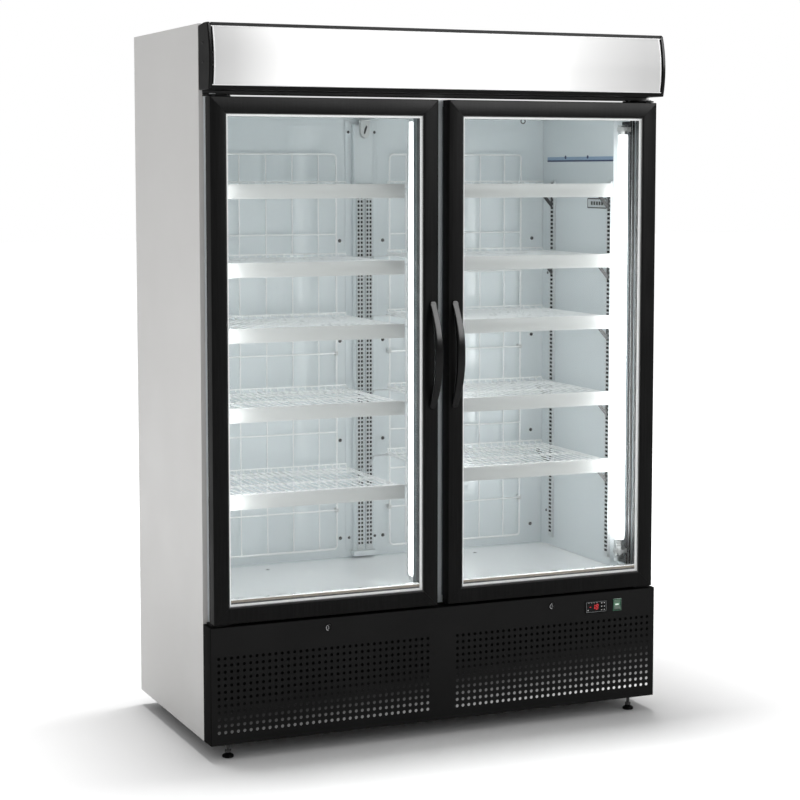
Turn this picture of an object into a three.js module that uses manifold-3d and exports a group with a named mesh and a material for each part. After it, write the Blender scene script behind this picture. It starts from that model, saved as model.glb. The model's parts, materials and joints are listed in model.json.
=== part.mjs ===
// Two-door upright glass door merchandiser with a lit canopy, wire shelves and a perforated
// machine compartment. Millimetres, +Z up, the doors face -Y, origin at the centre of the base.
import * as THREE from "three";
import { mergeVertices } from "three/addons/utils/BufferGeometryUtils.js";
import Module from "manifold-3d";

const wasm = await Module();
wasm.setup();

// Driving dimensions.
const WIDTH = 1380;
const HEIGHT = 1990;
const BODY_DEPTH = 608; // cabinet body without its doors
const DOOR_PROUD = 64; // door face in front of the body
const HANDLE_PROUD = 50; // handle in front of the door face
const GAP = 0.3; // between pieces that touch
const SHEET = 1.5; // steel sheet thickness

const HALF = WIDTH / 2;
const DEPTH = BODY_DEPTH + DOOR_PROUD + HANDLE_PROUD;
const BACK = DEPTH / 2;
const FRONT = BACK - BODY_DEPTH; // plane of the body's front flanges
const DOOR_FACE = FRONT - DOOR_PROUD;

// Levels above the floor.
const BASE_Z = 46;
const KICK_TOP = 371;
const DOOR_Z = [378, 1797];
const FLOOR_Z = [335, 412]; // insulated floor, underside and inside
const CEILING_Z = 1760;
const TOP_FOAM_Z = 1925;
const CANOPY_Z = [1814, HEIGHT];

// Insulated body.
const INNER_HALF = 625; // inside face of the side walls
const RECESS_HALF = 645; // lamp recess at the front of the side walls
const RECESS_DEPTH = 78;
const REAR_INNER = FRONT + 540; // inside face of the rear wall
const HEADER_DEPTH = 50;
const MULLION_HALF = 42;

// Doors.
const DOOR_OUTER = HALF - 11;
const DOOR_INNER = 16;
const DOOR_THICK = 40;
const STILE = 44;
const GLASS_LAP = 8; // how far the frame's front lip covers the glass
const GLASS_THICK = 24;
const PIN = { x: HALF - 26, y: FRONT - 40, r: 5, reach: 16 };

// Shelves: the height of each shelf's front rail, left and right compartment.
const SHELF_TOPS = { left: [1564, 1348, 1168, 948, 706], right: [1564, 1356, 1174, 946, 744] };
const SHELF_X = [62, 608];
const SHELF_Y = [FRONT + 66, FRONT + 500];
const RAIL_HEIGHT = 40;

// Kick panel.
const KICK_FACE = FRONT - 62;
const LOCK = { x: 348, z: 344, r: 9 };
const CONTROLLER = { x: [457, 530], z: [311, 348] };
const SWITCH = { x: 564, z: 330, width: 20, height: 28, tilt: THREE.MathUtils.degToRad(7) };
const FOOT = { x: 628, front: FRONT - 20, back: BACK - 60 };

// Machine compartment and cooling unit.
const TRAY_X = HALF - 20;
const CONDENSER_FAN = { x: -320, y: FRONT + 345, z: 190, r: 105 };
const EVAPORATOR_FAN = { x: 0, y: FRONT + 220, z: 1800, r: 85 };

const FINISH = {
  blackSteel: { color: 0x1c1c1d, roughness: 0.45, metalness: 0.3 },
  blackPlastic: { color: 0x161616, roughness: 0.4, metalness: 0 },
  greySkin: { color: 0xc9c8c6, roughness: 0.4, metalness: 0.2 },
  whiteLiner: { color: 0xe9edee, roughness: 0.25, metalness: 0 },
  whiteWire: { color: 0xf1f2f2, roughness: 0.35, metalness: 0.1 },
  zinc: { color: 0xb9bcbe, roughness: 0.35, metalness: 0.9 },
  bareSteel: { color: 0x8f9294, roughness: 0.3, metalness: 1 },
  aluminium: { color: 0xb4b8ba, roughness: 0.45, metalness: 0.9 },
  glass: { color: 0xdfeaec, roughness: 0.03, metalness: 0, transparent: true, opacity: 0.3 },
  gasket: { color: 0x9fa1a2, roughness: 0.8, metalness: 0 },
  lamp: { color: 0xffffff, roughness: 0.5, metalness: 0, emissive: 0xffffff },
  diffuser: { color: 0xf4f6f5, roughness: 0.4, metalness: 0, emissive: 0x888888 },
  green: { color: 0x1d9a4a, roughness: 0.35, metalness: 0 },
};

const part = new THREE.Group();

// One named piece in its own finish.
function addPiece(name, geometry, finish) {
  const mesh = new THREE.Mesh(geometry, new THREE.MeshStandardMaterial(FINISH[finish]));
  mesh.name = name;
  part.add(mesh);
  return mesh;
}

function toSolid(geometry) {
  const bare = geometry.clone();
  bare.deleteAttribute("normal");
  bare.deleteAttribute("uv");
  const merged = mergeVertices(bare, 1e-3);
  return new wasm.Manifold(
    new wasm.Mesh({
      numProp: 3,
      vertProperties: merged.attributes.position.array,
      triVerts: new Uint32Array(merged.index.array),
    }),
  );
}

function toGeometry(solid) {
  const mesh = solid.getMesh();
  const geometry = new THREE.BufferGeometry();
  geometry.setAttribute("position", new THREE.BufferAttribute(mesh.vertProperties, 3));
  geometry.setIndex(new THREE.BufferAttribute(mesh.triVerts, 1));
  return geometry;
}

const join = (...pieces) => toGeometry(pieces.map(toSolid).reduce((a, b) => a.add(b)));
const cut = (body, ...tools) =>
  toGeometry(tools.map(toSolid).reduce((a, b) => a.subtract(b), toSolid(body)));

// A box between two limits on each axis.
function block(x, y, z) {
  const size = [x, y, z].map(([a, b]) => Math.abs(b - a));
  const centre = [x, y, z].map(([a, b]) => (a + b) / 2);
  return new THREE.BoxGeometry(...size).translate(...centre);
}

const outline = (points) => new THREE.Shape(points.map(([a, b]) => new THREE.Vector2(a, b)));

// An outline of x, y points raised from z[0] to z[1].
function upright(points, z) {
  const settings = { depth: z[1] - z[0], bevelEnabled: false };
  return new THREE.ExtrudeGeometry(outline(points), settings).translate(0, 0, z[0]);
}

const ALONG_X = new THREE.Matrix4().makeBasis(
  new THREE.Vector3(0, 1, 0),
  new THREE.Vector3(0, 0, 1),
  new THREE.Vector3(1, 0, 0),
);

// A shape of y, z points run from x[0] to x[1].
function lengthwise(shape, x) {
  const settings = { depth: x[1] - x[0], bevelEnabled: false, curveSegments: 12 };
  const geometry = new THREE.ExtrudeGeometry(shape, settings);
  return geometry.applyMatrix4(ALONG_X).translate(x[0], 0, 0);
}

// A round bar centred on the origin, along z unless turned to y.
function bar(radius, length, segments = 16, axis = "z") {
  const geometry = new THREE.CylinderGeometry(radius, radius, length, segments);
  return axis === "z" ? geometry.rotateX(Math.PI / 2) : geometry;
}

const mirrored = (points, side) => points.map(([x, y]) => [x * side, y]);
const span = (side, near, far) => [side * near, side * far].sort((a, b) => a - b);
const sides = [
  { name: "left", side: -1 },
  { name: "right", side: 1 },
];

// Outer skin of one side: a flat sheet folded inwards at the front and the back.
function addSidePanel({ name, side }) {
  const folded = [
    [HALF, FRONT],
    [HALF, BACK],
    [HALF - 20, BACK],
    [HALF - 20, BACK - SHEET],
    [HALF - SHEET, BACK - SHEET],
    [HALF - SHEET, FRONT + SHEET],
    [HALF - 13, FRONT + SHEET],
    [HALF - 13, FRONT],
  ];
  addPiece(`${name}_side_panel`, upright(mirrored(folded, side), [BASE_Z, HEIGHT]), "greySkin");
}

// Foamed side wall behind the skin, with an upright recess for the lamp behind the door edge.
function addSideWall({ name, side }) {
  const inside = SHEET + GAP;
  const wall = [
    [INNER_HALF, FRONT],
    [HALF - 13 - GAP, FRONT],
    [HALF - 13 - GAP, FRONT + inside],
    [HALF - inside, FRONT + inside],
    [HALF - inside, BACK - inside],
    [INNER_HALF, BACK - inside],
  ];
  const recess = [
    [INNER_HALF - 1, FRONT - 1],
    [RECESS_HALF, FRONT - 1],
    [RECESS_HALF, FRONT + RECESS_DEPTH],
    [INNER_HALF - 1, FRONT + RECESS_DEPTH + 14],
  ];
  const solid = cut(
    upright(mirrored(wall, side), [FLOOR_Z[0], HEIGHT - 2]),
    upright(mirrored(recess, side), [FLOOR_Z[1], CEILING_Z]),
  );
  addPiece(`${name}_insulated_wall`, solid, "whiteLiner");
}

// Foamed floor, rear wall, top and front header in one run between the side walls.
function addInsulatedShell() {
  const run = outline([
    [FRONT, FLOOR_Z[0]],
    [BACK, FLOOR_Z[0]],
    [BACK, HEIGHT - 2],
    [FRONT, HEIGHT - 2],
    [FRONT, CEILING_Z],
    [FRONT + HEADER_DEPTH, CEILING_Z],
    [FRONT + HEADER_DEPTH, TOP_FOAM_Z],
    [REAR_INNER, TOP_FOAM_Z],
    [REAR_INNER, FLOOR_Z[1]],
    [FRONT, FLOOR_Z[1]],
  ]);
  const reach = INNER_HALF - GAP;
  addPiece("insulated_shell", lengthwise(run, [-reach, reach]), "whiteLiner");
}

// Upright between the doors, the lamp on its inner edge and the slotted post behind that.
function addMullion() {
  const tee = [
    [-MULLION_HALF, FRONT],
    [MULLION_HALF, FRONT],
    [MULLION_HALF, FRONT + 30],
    [33, FRONT + 30],
    [33, FRONT + 70],
    [-33, FRONT + 70],
    [-33, FRONT + 30],
    [-MULLION_HALF, FRONT + 30],
  ];
  const clearHeight = [FLOOR_Z[1] + GAP, CEILING_Z - GAP];
  addPiece("centre_mullion", upright(tee, clearHeight), "whiteLiner");
  const lamp = block([-34, 34], [FRONT + 70 + GAP, FRONT + 110], [420, 1755]);
  addPiece("centre_lamp", lamp, "lamp");
  const post = block([-30, 30], [FRONT + 110 + GAP, FRONT + 124], [430, 1700]);
  addPiece("centre_front_pilaster", post, "zinc");
}

// Post on the rear wall with two raised slotted tracks.
function addRearPost() {
  const face = FRONT + 520;
  const tracks = [-1, 1].flatMap((side) => {
    const [near, far] = span(side, 4, 25);
    return [[near, face], [near, face - 8], [far, face - 8], [far, face]];
  });
  const foot = REAR_INNER - GAP;
  const section = [[-33, foot], [-33, face], ...tracks, [33, face], [33, foot]];
  addPiece("rear_centre_post", upright(section, [430, 1740]), "whiteLiner");
}

// Slotted uprights on one side wall.
function addPilasters({ name, side }) {
  const stations = { front: FRONT + 80, rear: FRONT + 454 };
  for (const [place, y] of Object.entries(stations)) {
    const x = span(side, INNER_HALF - 8, INNER_HALF - GAP);
    const clear = place === "front" ? RECESS_DEPTH + 14 - 80 + GAP : 0;
    const track = block(x, [y + clear, y + clear + 24], [440, 1570]);
    addPiece(`${name}_${place}_pilaster`, track, "zinc");
  }
}

function addSideLamp({ name, side }) {
  const lamp = addPiece(`${name}_lamp`, bar(15, 1295, 12), "lamp");
  lamp.position.set(side * 622, FRONT + 30, 1087.5);
}

// Open grid: a flat plate in the x, y plane with equal rectangular windows between its wires.
function grid(width, height, columns, rows, wire) {
  const windows = [];
  const stepX = (width - wire) / columns;
  const stepY = (height - wire) / rows;
  for (let column = 0; column < columns; column += 1) {
    for (let row = 0; row < rows; row += 1) {
      const x = [column * stepX + wire, (column + 1) * stepX];
      const y = [row * stepY + wire, (row + 1) * stepY];
      windows.push(block(x, y, [-1, wire + 1]));
    }
  }
  return cut(block([0, width], [0, height], [0, wire]), ...windows);
}

// Wire guard in front of the rear wall, which keeps goods out of the air flow.
function addRearGuard({ name, side }) {
  const [x] = span(side, 85, 541);
  const wires = grid(456, 1214, 3, 5, 5).rotateX(Math.PI / 2);
  const guard = addPiece(`${name}_rear_guard`, wires, "whiteWire");
  guard.position.set(x, FRONT + 528, 440);
}

// Wire shelf with a tall front rail; the wires lie just below the rail's top.
function addShelves({ name, side }) {
  const [x0, x1] = span(side, ...SHELF_X);
  const [y0, y1] = SHELF_Y;
  const wires = grid(x1 - x0 - 2, y1 - y0 - 2, 9, 1, 5).translate(1, 2, -9);
  const rail = block([0, x1 - x0], [0, 4], [-RAIL_HEIGHT, 0]);
  const shape = join(wires, rail);
  SHELF_TOPS[name].forEach((top, index) => {
    const shelf = addPiece(`${name}_shelf_${index + 1}`, shape, "whiteWire");
    shelf.position.set(x0, y0, top);
  });
}

// Air duct panel under the evaporator, open below the fan.
function addCeilingPanel() {
  const reach = INNER_HALF - GAP;
  const rise = [CEILING_Z + GAP, CEILING_Z + 4];
  const panel = block([-reach, reach], [FRONT + HEADER_DEPTH + GAP, REAR_INNER - GAP], rise);
  const mouth = bar(EVAPORATOR_FAN.r + 8, 20, 24);
  mouth.translate(EVAPORATOR_FAN.x, EVAPORATOR_FAN.y, CEILING_Z);
  addPiece("ceiling_panel", cut(panel, mouth), "whiteLiner");
}

// A block of upright fins joined by a spine along its length.
function finBlock(length, depth, height, fins) {
  const pitch = length / (fins - 0.5);
  const points = [[0, 0]];
  for (let fin = 0; fin < fins; fin += 1) {
    const [start, end] = [fin * pitch, fin * pitch + pitch / 2];
    if (fin > 0) points.push([start, depth * 0.25], [start, 0]);
    points.push([end, 0]);
    if (fin < fins - 1) points.push([end, depth * 0.25]);
  }
  points.push([length, depth], [0, depth]);
  return upright(points, [0, height]);
}

// Five pitched blades on a hub, turning about z.
function fanWheel(radius) {
  const blades = Array.from({ length: 5 }, (_, index) => {
    const blade = new THREE.BoxGeometry(radius - 12, radius * 0.55, 2.5);
    blade.rotateX(0.5).translate(radius / 2 + 6, 0, 0);
    return blade.rotateZ((index * 2 * Math.PI) / 5);
  });
  return join(bar(radius * 0.28, radius * 0.35), ...blades);
}

function addCoolingUnit() {
  const evaporator = addPiece("evaporator", finBlock(900, 150, 120, 22), "aluminium");
  evaporator.position.set(-450, FRONT + 360, 1780);
  const upper = addPiece("evaporator_fan", fanWheel(EVAPORATOR_FAN.r), "blackPlastic");
  upper.position.set(EVAPORATOR_FAN.x, EVAPORATOR_FAN.y, EVAPORATOR_FAN.z);

  const condenser = addPiece("condenser", finBlock(320, 65, 240, 16), "blackSteel");
  condenser.position.set(CONDENSER_FAN.x - 160, FRONT + 235, 70);
  const lower = addPiece("condenser_fan", fanWheel(CONDENSER_FAN.r), "blackPlastic");
  lower.rotation.x = Math.PI / 2;
  lower.position.set(CONDENSER_FAN.x, CONDENSER_FAN.y, CONDENSER_FAN.z);

  const dome = new THREE.Path();
  dome.moveTo(0, 0);
  dome.lineTo(95, 0);
  dome.lineTo(95, 10);
  dome.lineTo(84, 14);
  dome.lineTo(84, 120);
  dome.absellipse(0, 120, 84, 70, 0, Math.PI / 2, false, 0);
  const shell = new THREE.LatheGeometry(dome.getPoints(6), 20).rotateX(Math.PI / 2);
  addPiece("compressor", shell, "blackSteel").position.set(330, FRONT + 430, BASE_Z + SHEET + 4);
}

const footPlaces = sides.flatMap(({ name, side }) => [
  { name: `front_${name}_foot`, x: side * FOOT.x, y: FOOT.front },
  { name: `rear_${name}_foot`, x: side * FOOT.x, y: FOOT.back },
]);

// Base tray with turned-up edges, a hole for each foot and the mains cable gland at the back.
function addBaseTray() {
  const y = [KICK_FACE + SHEET + 2, BACK - 4];
  const pan = cut(
    block([-TRAY_X, TRAY_X], y, [BASE_Z, BASE_Z + 30]),
    block([2 - TRAY_X, TRAY_X - 2], [y[0] + 2, y[1] - 2], [BASE_Z + 2, BASE_Z + 40]),
    ...footPlaces.map((foot) => bar(7, 20, 12).translate(foot.x, foot.y, BASE_Z)),
  );
  const gland = bar(9, 12, 12, "y").translate(-500, BACK - 6.5, BASE_Z + 15);
  addPiece("base_tray", join(pan, gland), "zinc");
}

// Levelling foot: round pad, hexagon to turn it by and a threaded stem.
function addFeet() {
  const profile = [[0, 0], [15, 0], [16, 2], [16, 7], [9, 10], [5, 11], [5, 66], [0, 66]];
  const points = profile.map(([r, z]) => new THREE.Vector2(r, z));
  const turned = new THREE.LatheGeometry(points, 14).rotateX(Math.PI / 2);
  const hexagon = new THREE.CylinderGeometry(9.5, 9.5, 6, 6).rotateX(Math.PI / 2);
  const shape = join(turned, hexagon.translate(0, 0, 40));
  for (const foot of footPlaces) {
    addPiece(foot.name, shape, "blackPlastic").position.set(foot.x, foot.y, 0);
  }
}

// Folded front panel of the machine compartment with its cut-outs.
function addKickPanel() {
  const through = [KICK_FACE - 5, KICK_FACE + 5];
  const { x, z, width, height } = SWITCH;
  const panel = cut(
    block([-HALF, HALF], [KICK_FACE, FRONT - 0.5], [BASE_Z, KICK_TOP]),
    block(
      [SHEET - HALF, HALF - SHEET],
      [KICK_FACE + SHEET, FRONT],
      [BASE_Z - 1, KICK_TOP - SHEET],
    ),
    block([CONTROLLER.x[0] + 3, CONTROLLER.x[1] - 3], through, [CONTROLLER.z[0] + 3, 345]),
    block([x - width / 2 - 1, x + width / 2 + 1], through, [z - height / 2 - 2, z + height / 2 + 2]),
    ...sides.map(({ side }) =>
      bar(LOCK.r + 0.5, 10, 20, "y").translate(side * LOCK.x, KICK_FACE, LOCK.z),
    ),
  );
  addPiece("kick_panel", panel, "blackSteel");
}

// Lock barrel through the kick panel, with its cam hanging down behind the panel.
function addLock({ name, side }) {
  const barrel = bar(LOCK.r, 28, 18, "y").translate(0, 11, 0);
  const cam = block([-6, 6], [21, 25], [-26, 6]);
  const lock = addPiece(`${name}_lock`, join(barrel, cam), "bareSteel");
  lock.position.set(side * LOCK.x, KICK_FACE, LOCK.z);
}

function addControls() {
  const { x, z } = CONTROLLER;
  const bezel = block(x, [KICK_FACE - 2.5, KICK_FACE - GAP], z);
  const body = block([x[0] + 4, x[1] - 4], [KICK_FACE - 1, KICK_FACE + 58], [z[0] + 4, 344]);
  addPiece("controller", join(bezel, body), "blackPlastic");

  const depth = 14;
  const face = new THREE.Shape();
  face.moveTo(depth / 2, -SWITCH.height / 2);
  face.lineTo(depth / 2, SWITCH.height / 2);
  face.lineTo(-depth / 2, SWITCH.height / 2);
  face.quadraticCurveTo(4 - depth / 2, 0, -depth / 2, -SWITCH.height / 2);
  const width = [-SWITCH.width / 2, SWITCH.width / 2];
  const rocker = addPiece("rocker_switch", lengthwise(face, width), "green");
  rocker.rotation.x = -SWITCH.tilt;
  rocker.position.set(SWITCH.x, KICK_FACE + 4, SWITCH.z);
}

// How far the canopy's bowed front stands in front of the body at share t of its height.
const canopyReach = (t) => 84 - 8 * t + 56 * t * (1 - t);

// Points up the bowed front between two heights, moved back by an inset.
function bowedFront(z, inset, steps) {
  return Array.from({ length: steps + 1 }, (_, step) => {
    const height = z[0] + ((z[1] - z[0]) * step) / steps;
    const t = (height - CANOPY_Z[0]) / (CANOPY_Z[1] - CANOPY_Z[0]);
    return [FRONT - canopyReach(t) + inset, height];
  });
}

function addCanopy() {
  const capThick = 10;
  const reach = HALF - capThick - GAP;
  const housing = outline(
    [
      [-GAP, 1803],
      [-GAP, 1986],
      [-76, 1986],
      [-77.5, 1977],
      [-73, 1977],
      [-73, 1984],
      [-2.3, 1984],
      [-2.3, 1816],
      [-79, 1816],
      [-79, 1824],
      [-83.5, 1824],
      [-83, 1814],
      [-2.3, 1814],
      [-2.3, 1803],
    ].map(([ahead, z]) => [FRONT + ahead, z]),
  );
  addPiece("canopy_housing", lengthwise(housing, [-reach, reach]), "blackSteel");

  const lit = [1824.5, 1976.5];
  const sheet = [...bowedFront(lit, 1, 8), ...bowedFront(lit, 4, 8).reverse()];
  addPiece("canopy_diffuser", lengthwise(outline(sheet), [-reach, reach]), "diffuser");

  const cap = outline([
    [FRONT - GAP, CANOPY_Z[0]],
    ...bowedFront(CANOPY_Z, 0, 10),
    [FRONT - 46, CANOPY_Z[1]],
    [FRONT - GAP, CANOPY_Z[1] - 6],
  ]);
  addPiece("canopy_left_cap", lengthwise(cap, [-HALF, capThick - HALF]), "blackPlastic");
  addPiece("canopy_right_cap", lengthwise(cap, [HALF - capThick, HALF]), "blackPlastic");

  const tube = bar(10, 1300, 12, "y").rotateZ(Math.PI / 2);
  addPiece("canopy_lamp", tube, "lamp").position.set(0, FRONT - 38, 1900);
}

// Tapered hinge plate fixed to the body's front, with the pin that enters the door.
function addHingeBracket({ name, side }, place, plateZ, pinZ) {
  const plate = new THREE.Shape();
  plate.moveTo(side * 600, FRONT - 0.4);
  plate.lineTo(side * (HALF - 10), FRONT - 0.4);
  plate.lineTo(side * (HALF - 10), PIN.y);
  plate.absarc(side * PIN.x, PIN.y, 16, side > 0 ? 0 : Math.PI, -Math.PI / 2, side > 0);
  plate.lineTo(side * 628, FRONT - 50);
  const settings = { depth: plateZ[1] - plateZ[0], bevelEnabled: false, curveSegments: 6 };
  const flat = new THREE.ExtrudeGeometry(plate, settings).translate(0, 0, plateZ[0]);
  const pin = bar(PIN.r, pinZ[1] - pinZ[0], 16);
  pin.translate(side * PIN.x, PIN.y, (pinZ[0] + pinZ[1]) / 2);
  addPiece(`${name}_${place}_hinge`, join(flat, pin), "blackSteel");
}

function addHinges(which) {
  const topPlate = [DOOR_Z[1] + 1.5, DOOR_Z[1] + 5.5];
  const bottomPlate = [KICK_TOP + 1, KICK_TOP + 5];
  addHingeBracket(which, "top", topPlate, [DOOR_Z[1] - PIN.reach, topPlate[1]]);
  addHingeBracket(which, "bottom", bottomPlate, [bottomPlate[0], DOOR_Z[0] + PIN.reach]);
}

// A rectangular ring of a given leg width, from front to back limits y.
function ring(x, y, z, leg) {
  const window = block(
    [x[0] + leg, x[1] - leg],
    [y[0] - 1, y[1] + 1],
    [z[0] + leg, z[1] - leg],
  );
  return cut(block(x, y, z), window);
}

// Door: frame with a front lip, sealed glass unit behind the lip, gasket and bow handle.
function addDoor({ name, side }) {
  const x = span(side, DOOR_INNER, DOOR_OUTER);
  const y = [DOOR_FACE, DOOR_FACE + DOOR_THICK];
  const seat = STILE - GLASS_LAP;
  const pocket = block(
    [x[0] + seat, x[1] - seat],
    [DOOR_FACE + 6, y[1] + 1],
    [DOOR_Z[0] + seat, DOOR_Z[1] - seat],
  );
  const pinHoles = DOOR_Z.map((z) =>
    bar(PIN.r + 0.6, 2 * PIN.reach + 3, 16).translate(side * PIN.x, PIN.y, z),
  );
  const frame = cut(ring(x, y, DOOR_Z, STILE), pocket, ...pinHoles);
  addPiece(`${name}_door_frame`, frame, "blackPlastic");

  const pane = block(
    [x[0] + seat + GAP, x[1] - seat - GAP],
    [DOOR_FACE + 6 + GAP, DOOR_FACE + 6 + GAP + GLASS_THICK],
    [DOOR_Z[0] + seat + GAP, DOOR_Z[1] - seat - GAP],
  );
  addPiece(`${name}_door_glass`, pane, "glass");

  const sealX = span(side, DOOR_INNER + 6, PIN.x - 2);
  const sealZ = [DOOR_Z[0] + 14, DOOR_Z[1] - 16];
  const seal = ring(sealX, [y[1] + GAP, FRONT - 0.6], sealZ, 18);
  addPiece(`${name}_door_gasket`, seal, "gasket");

  const stand = GAP - HANDLE_PROUD;
  const bow = new THREE.Shape();
  bow.moveTo(0, -152);
  bow.quadraticCurveTo(stand, -110, stand, 0);
  bow.quadraticCurveTo(stand, 110, 0, 152);
  bow.lineTo(0, 114);
  bow.quadraticCurveTo(stand + 18, 80, stand + 18, 0);
  bow.quadraticCurveTo(stand + 18, -80, 0, -114);
  const handle = addPiece(`${name}_door_handle`, lengthwise(bow, [-10, 10]), "blackPlastic");
  handle.position.set(side * 34, DOOR_FACE - GAP, 1088);
}

addInsulatedShell();
addMullion();
addRearPost();
addCeilingPanel();
addCoolingUnit();
addBaseTray();
addFeet();
addKickPanel();
addControls();
addCanopy();
for (const which of sides) {
  addSidePanel(which);
  addSideWall(which);
  addPilasters(which);
  addSideLamp(which);
  addRearGuard(which);
  addShelves(which);
  addLock(which);
  addHinges(which);
  addDoor(which);
}

export default part;
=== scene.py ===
import json
from itertools import product
from math import copysign, cos, pi, radians, sin, sqrt

import bmesh
import bpy
from mathutils import Matrix, Vector
from mathutils.geometry import delaunay_2d_cdt


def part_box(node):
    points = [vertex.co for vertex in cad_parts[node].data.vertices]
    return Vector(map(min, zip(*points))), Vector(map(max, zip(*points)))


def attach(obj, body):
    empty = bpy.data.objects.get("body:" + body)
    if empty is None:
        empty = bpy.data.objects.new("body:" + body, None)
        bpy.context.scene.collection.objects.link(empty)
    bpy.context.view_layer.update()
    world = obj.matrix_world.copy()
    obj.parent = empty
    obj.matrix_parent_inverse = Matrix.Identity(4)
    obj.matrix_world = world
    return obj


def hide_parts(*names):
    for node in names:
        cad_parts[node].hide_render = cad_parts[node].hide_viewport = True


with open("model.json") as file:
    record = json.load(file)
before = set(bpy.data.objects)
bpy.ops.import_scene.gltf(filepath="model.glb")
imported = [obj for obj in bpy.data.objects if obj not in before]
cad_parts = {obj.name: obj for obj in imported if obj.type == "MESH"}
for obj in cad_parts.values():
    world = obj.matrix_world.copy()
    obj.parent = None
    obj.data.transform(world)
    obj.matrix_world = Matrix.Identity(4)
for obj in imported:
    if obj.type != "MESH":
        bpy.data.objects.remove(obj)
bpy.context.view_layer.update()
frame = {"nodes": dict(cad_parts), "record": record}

UNIT = 0.001
SIDES = {"left": -1, "right": 1}
PLACES = {
    "x": lambda u, v, w: (w, u, v),
    "y": lambda u, v, w: (u, w, v),
    "z": lambda u, v, w: (u, v, w),
}


def extent(node):
    """Lowest and highest corner of a CAD node in millimetres."""
    lo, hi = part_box(node)
    return lo / UNIT, hi / UNIT


def centre(node):
    lo, hi = extent(node)
    return (lo + hi) / 2


def circle(u, v, radius, count=12, turn=0.0):
    steps = [turn + 2 * pi * i / count for i in range(count)]
    return [(u + radius * cos(a), v + radius * sin(a)) for a in steps]


def rectangle(u, v, radius=0.0, steps=4):
    """Rectangle between limits u and v, with rounded corners."""
    if not radius:
        return [(u[0], v[0]), (u[1], v[0]), (u[1], v[1]), (u[0], v[1])]
    points = []
    for quarter, (x, y) in enumerate(((u[1], v[1]), (u[0], v[1]), (u[0], v[0]), (u[1], v[0]))):
        cx = x - copysign(radius, x - (u[0] + u[1]) / 2)
        cy = y - copysign(radius, y - (v[0] + v[1]) / 2)
        turns = [(quarter + i / steps) * pi / 2 for i in range(steps + 1)]
        points += [(cx + radius * cos(a), cy + radius * sin(a)) for a in turns]
    return points


def around(u, v, width, height, radius=0.0):
    """Rectangle round a middle."""
    return rectangle((u - width / 2, u + width / 2), (v - height / 2, v + height / 2), radius)


def barrel(low, high, radius, step, rise):
    """Profile of a closed cylinder with chamfered ends."""
    inner = radius - step
    return [(0, low), (inner, low), (radius, low + rise), (radius, high - rise), (inner, high),
            (0, high)]


def smooth_path(points, steps=6):
    """A Catmull-Rom curve through the points."""
    path = [Vector(p) for p in points]
    path = [2 * path[0] - path[1], *path, 2 * path[-1] - path[-2]]
    out = []
    for a, b, c, d in zip(path, path[1:], path[2:], path[3:]):
        for t in (k / steps for k in range(steps)):
            bend = (2 * a - 5 * b + 4 * c - d) * t * t + (3 * b - a - 3 * c + d) * t ** 3
            out.append(0.5 * (2 * b + (c - a) * t + bend))
    return [*out, path[-2]]


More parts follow.
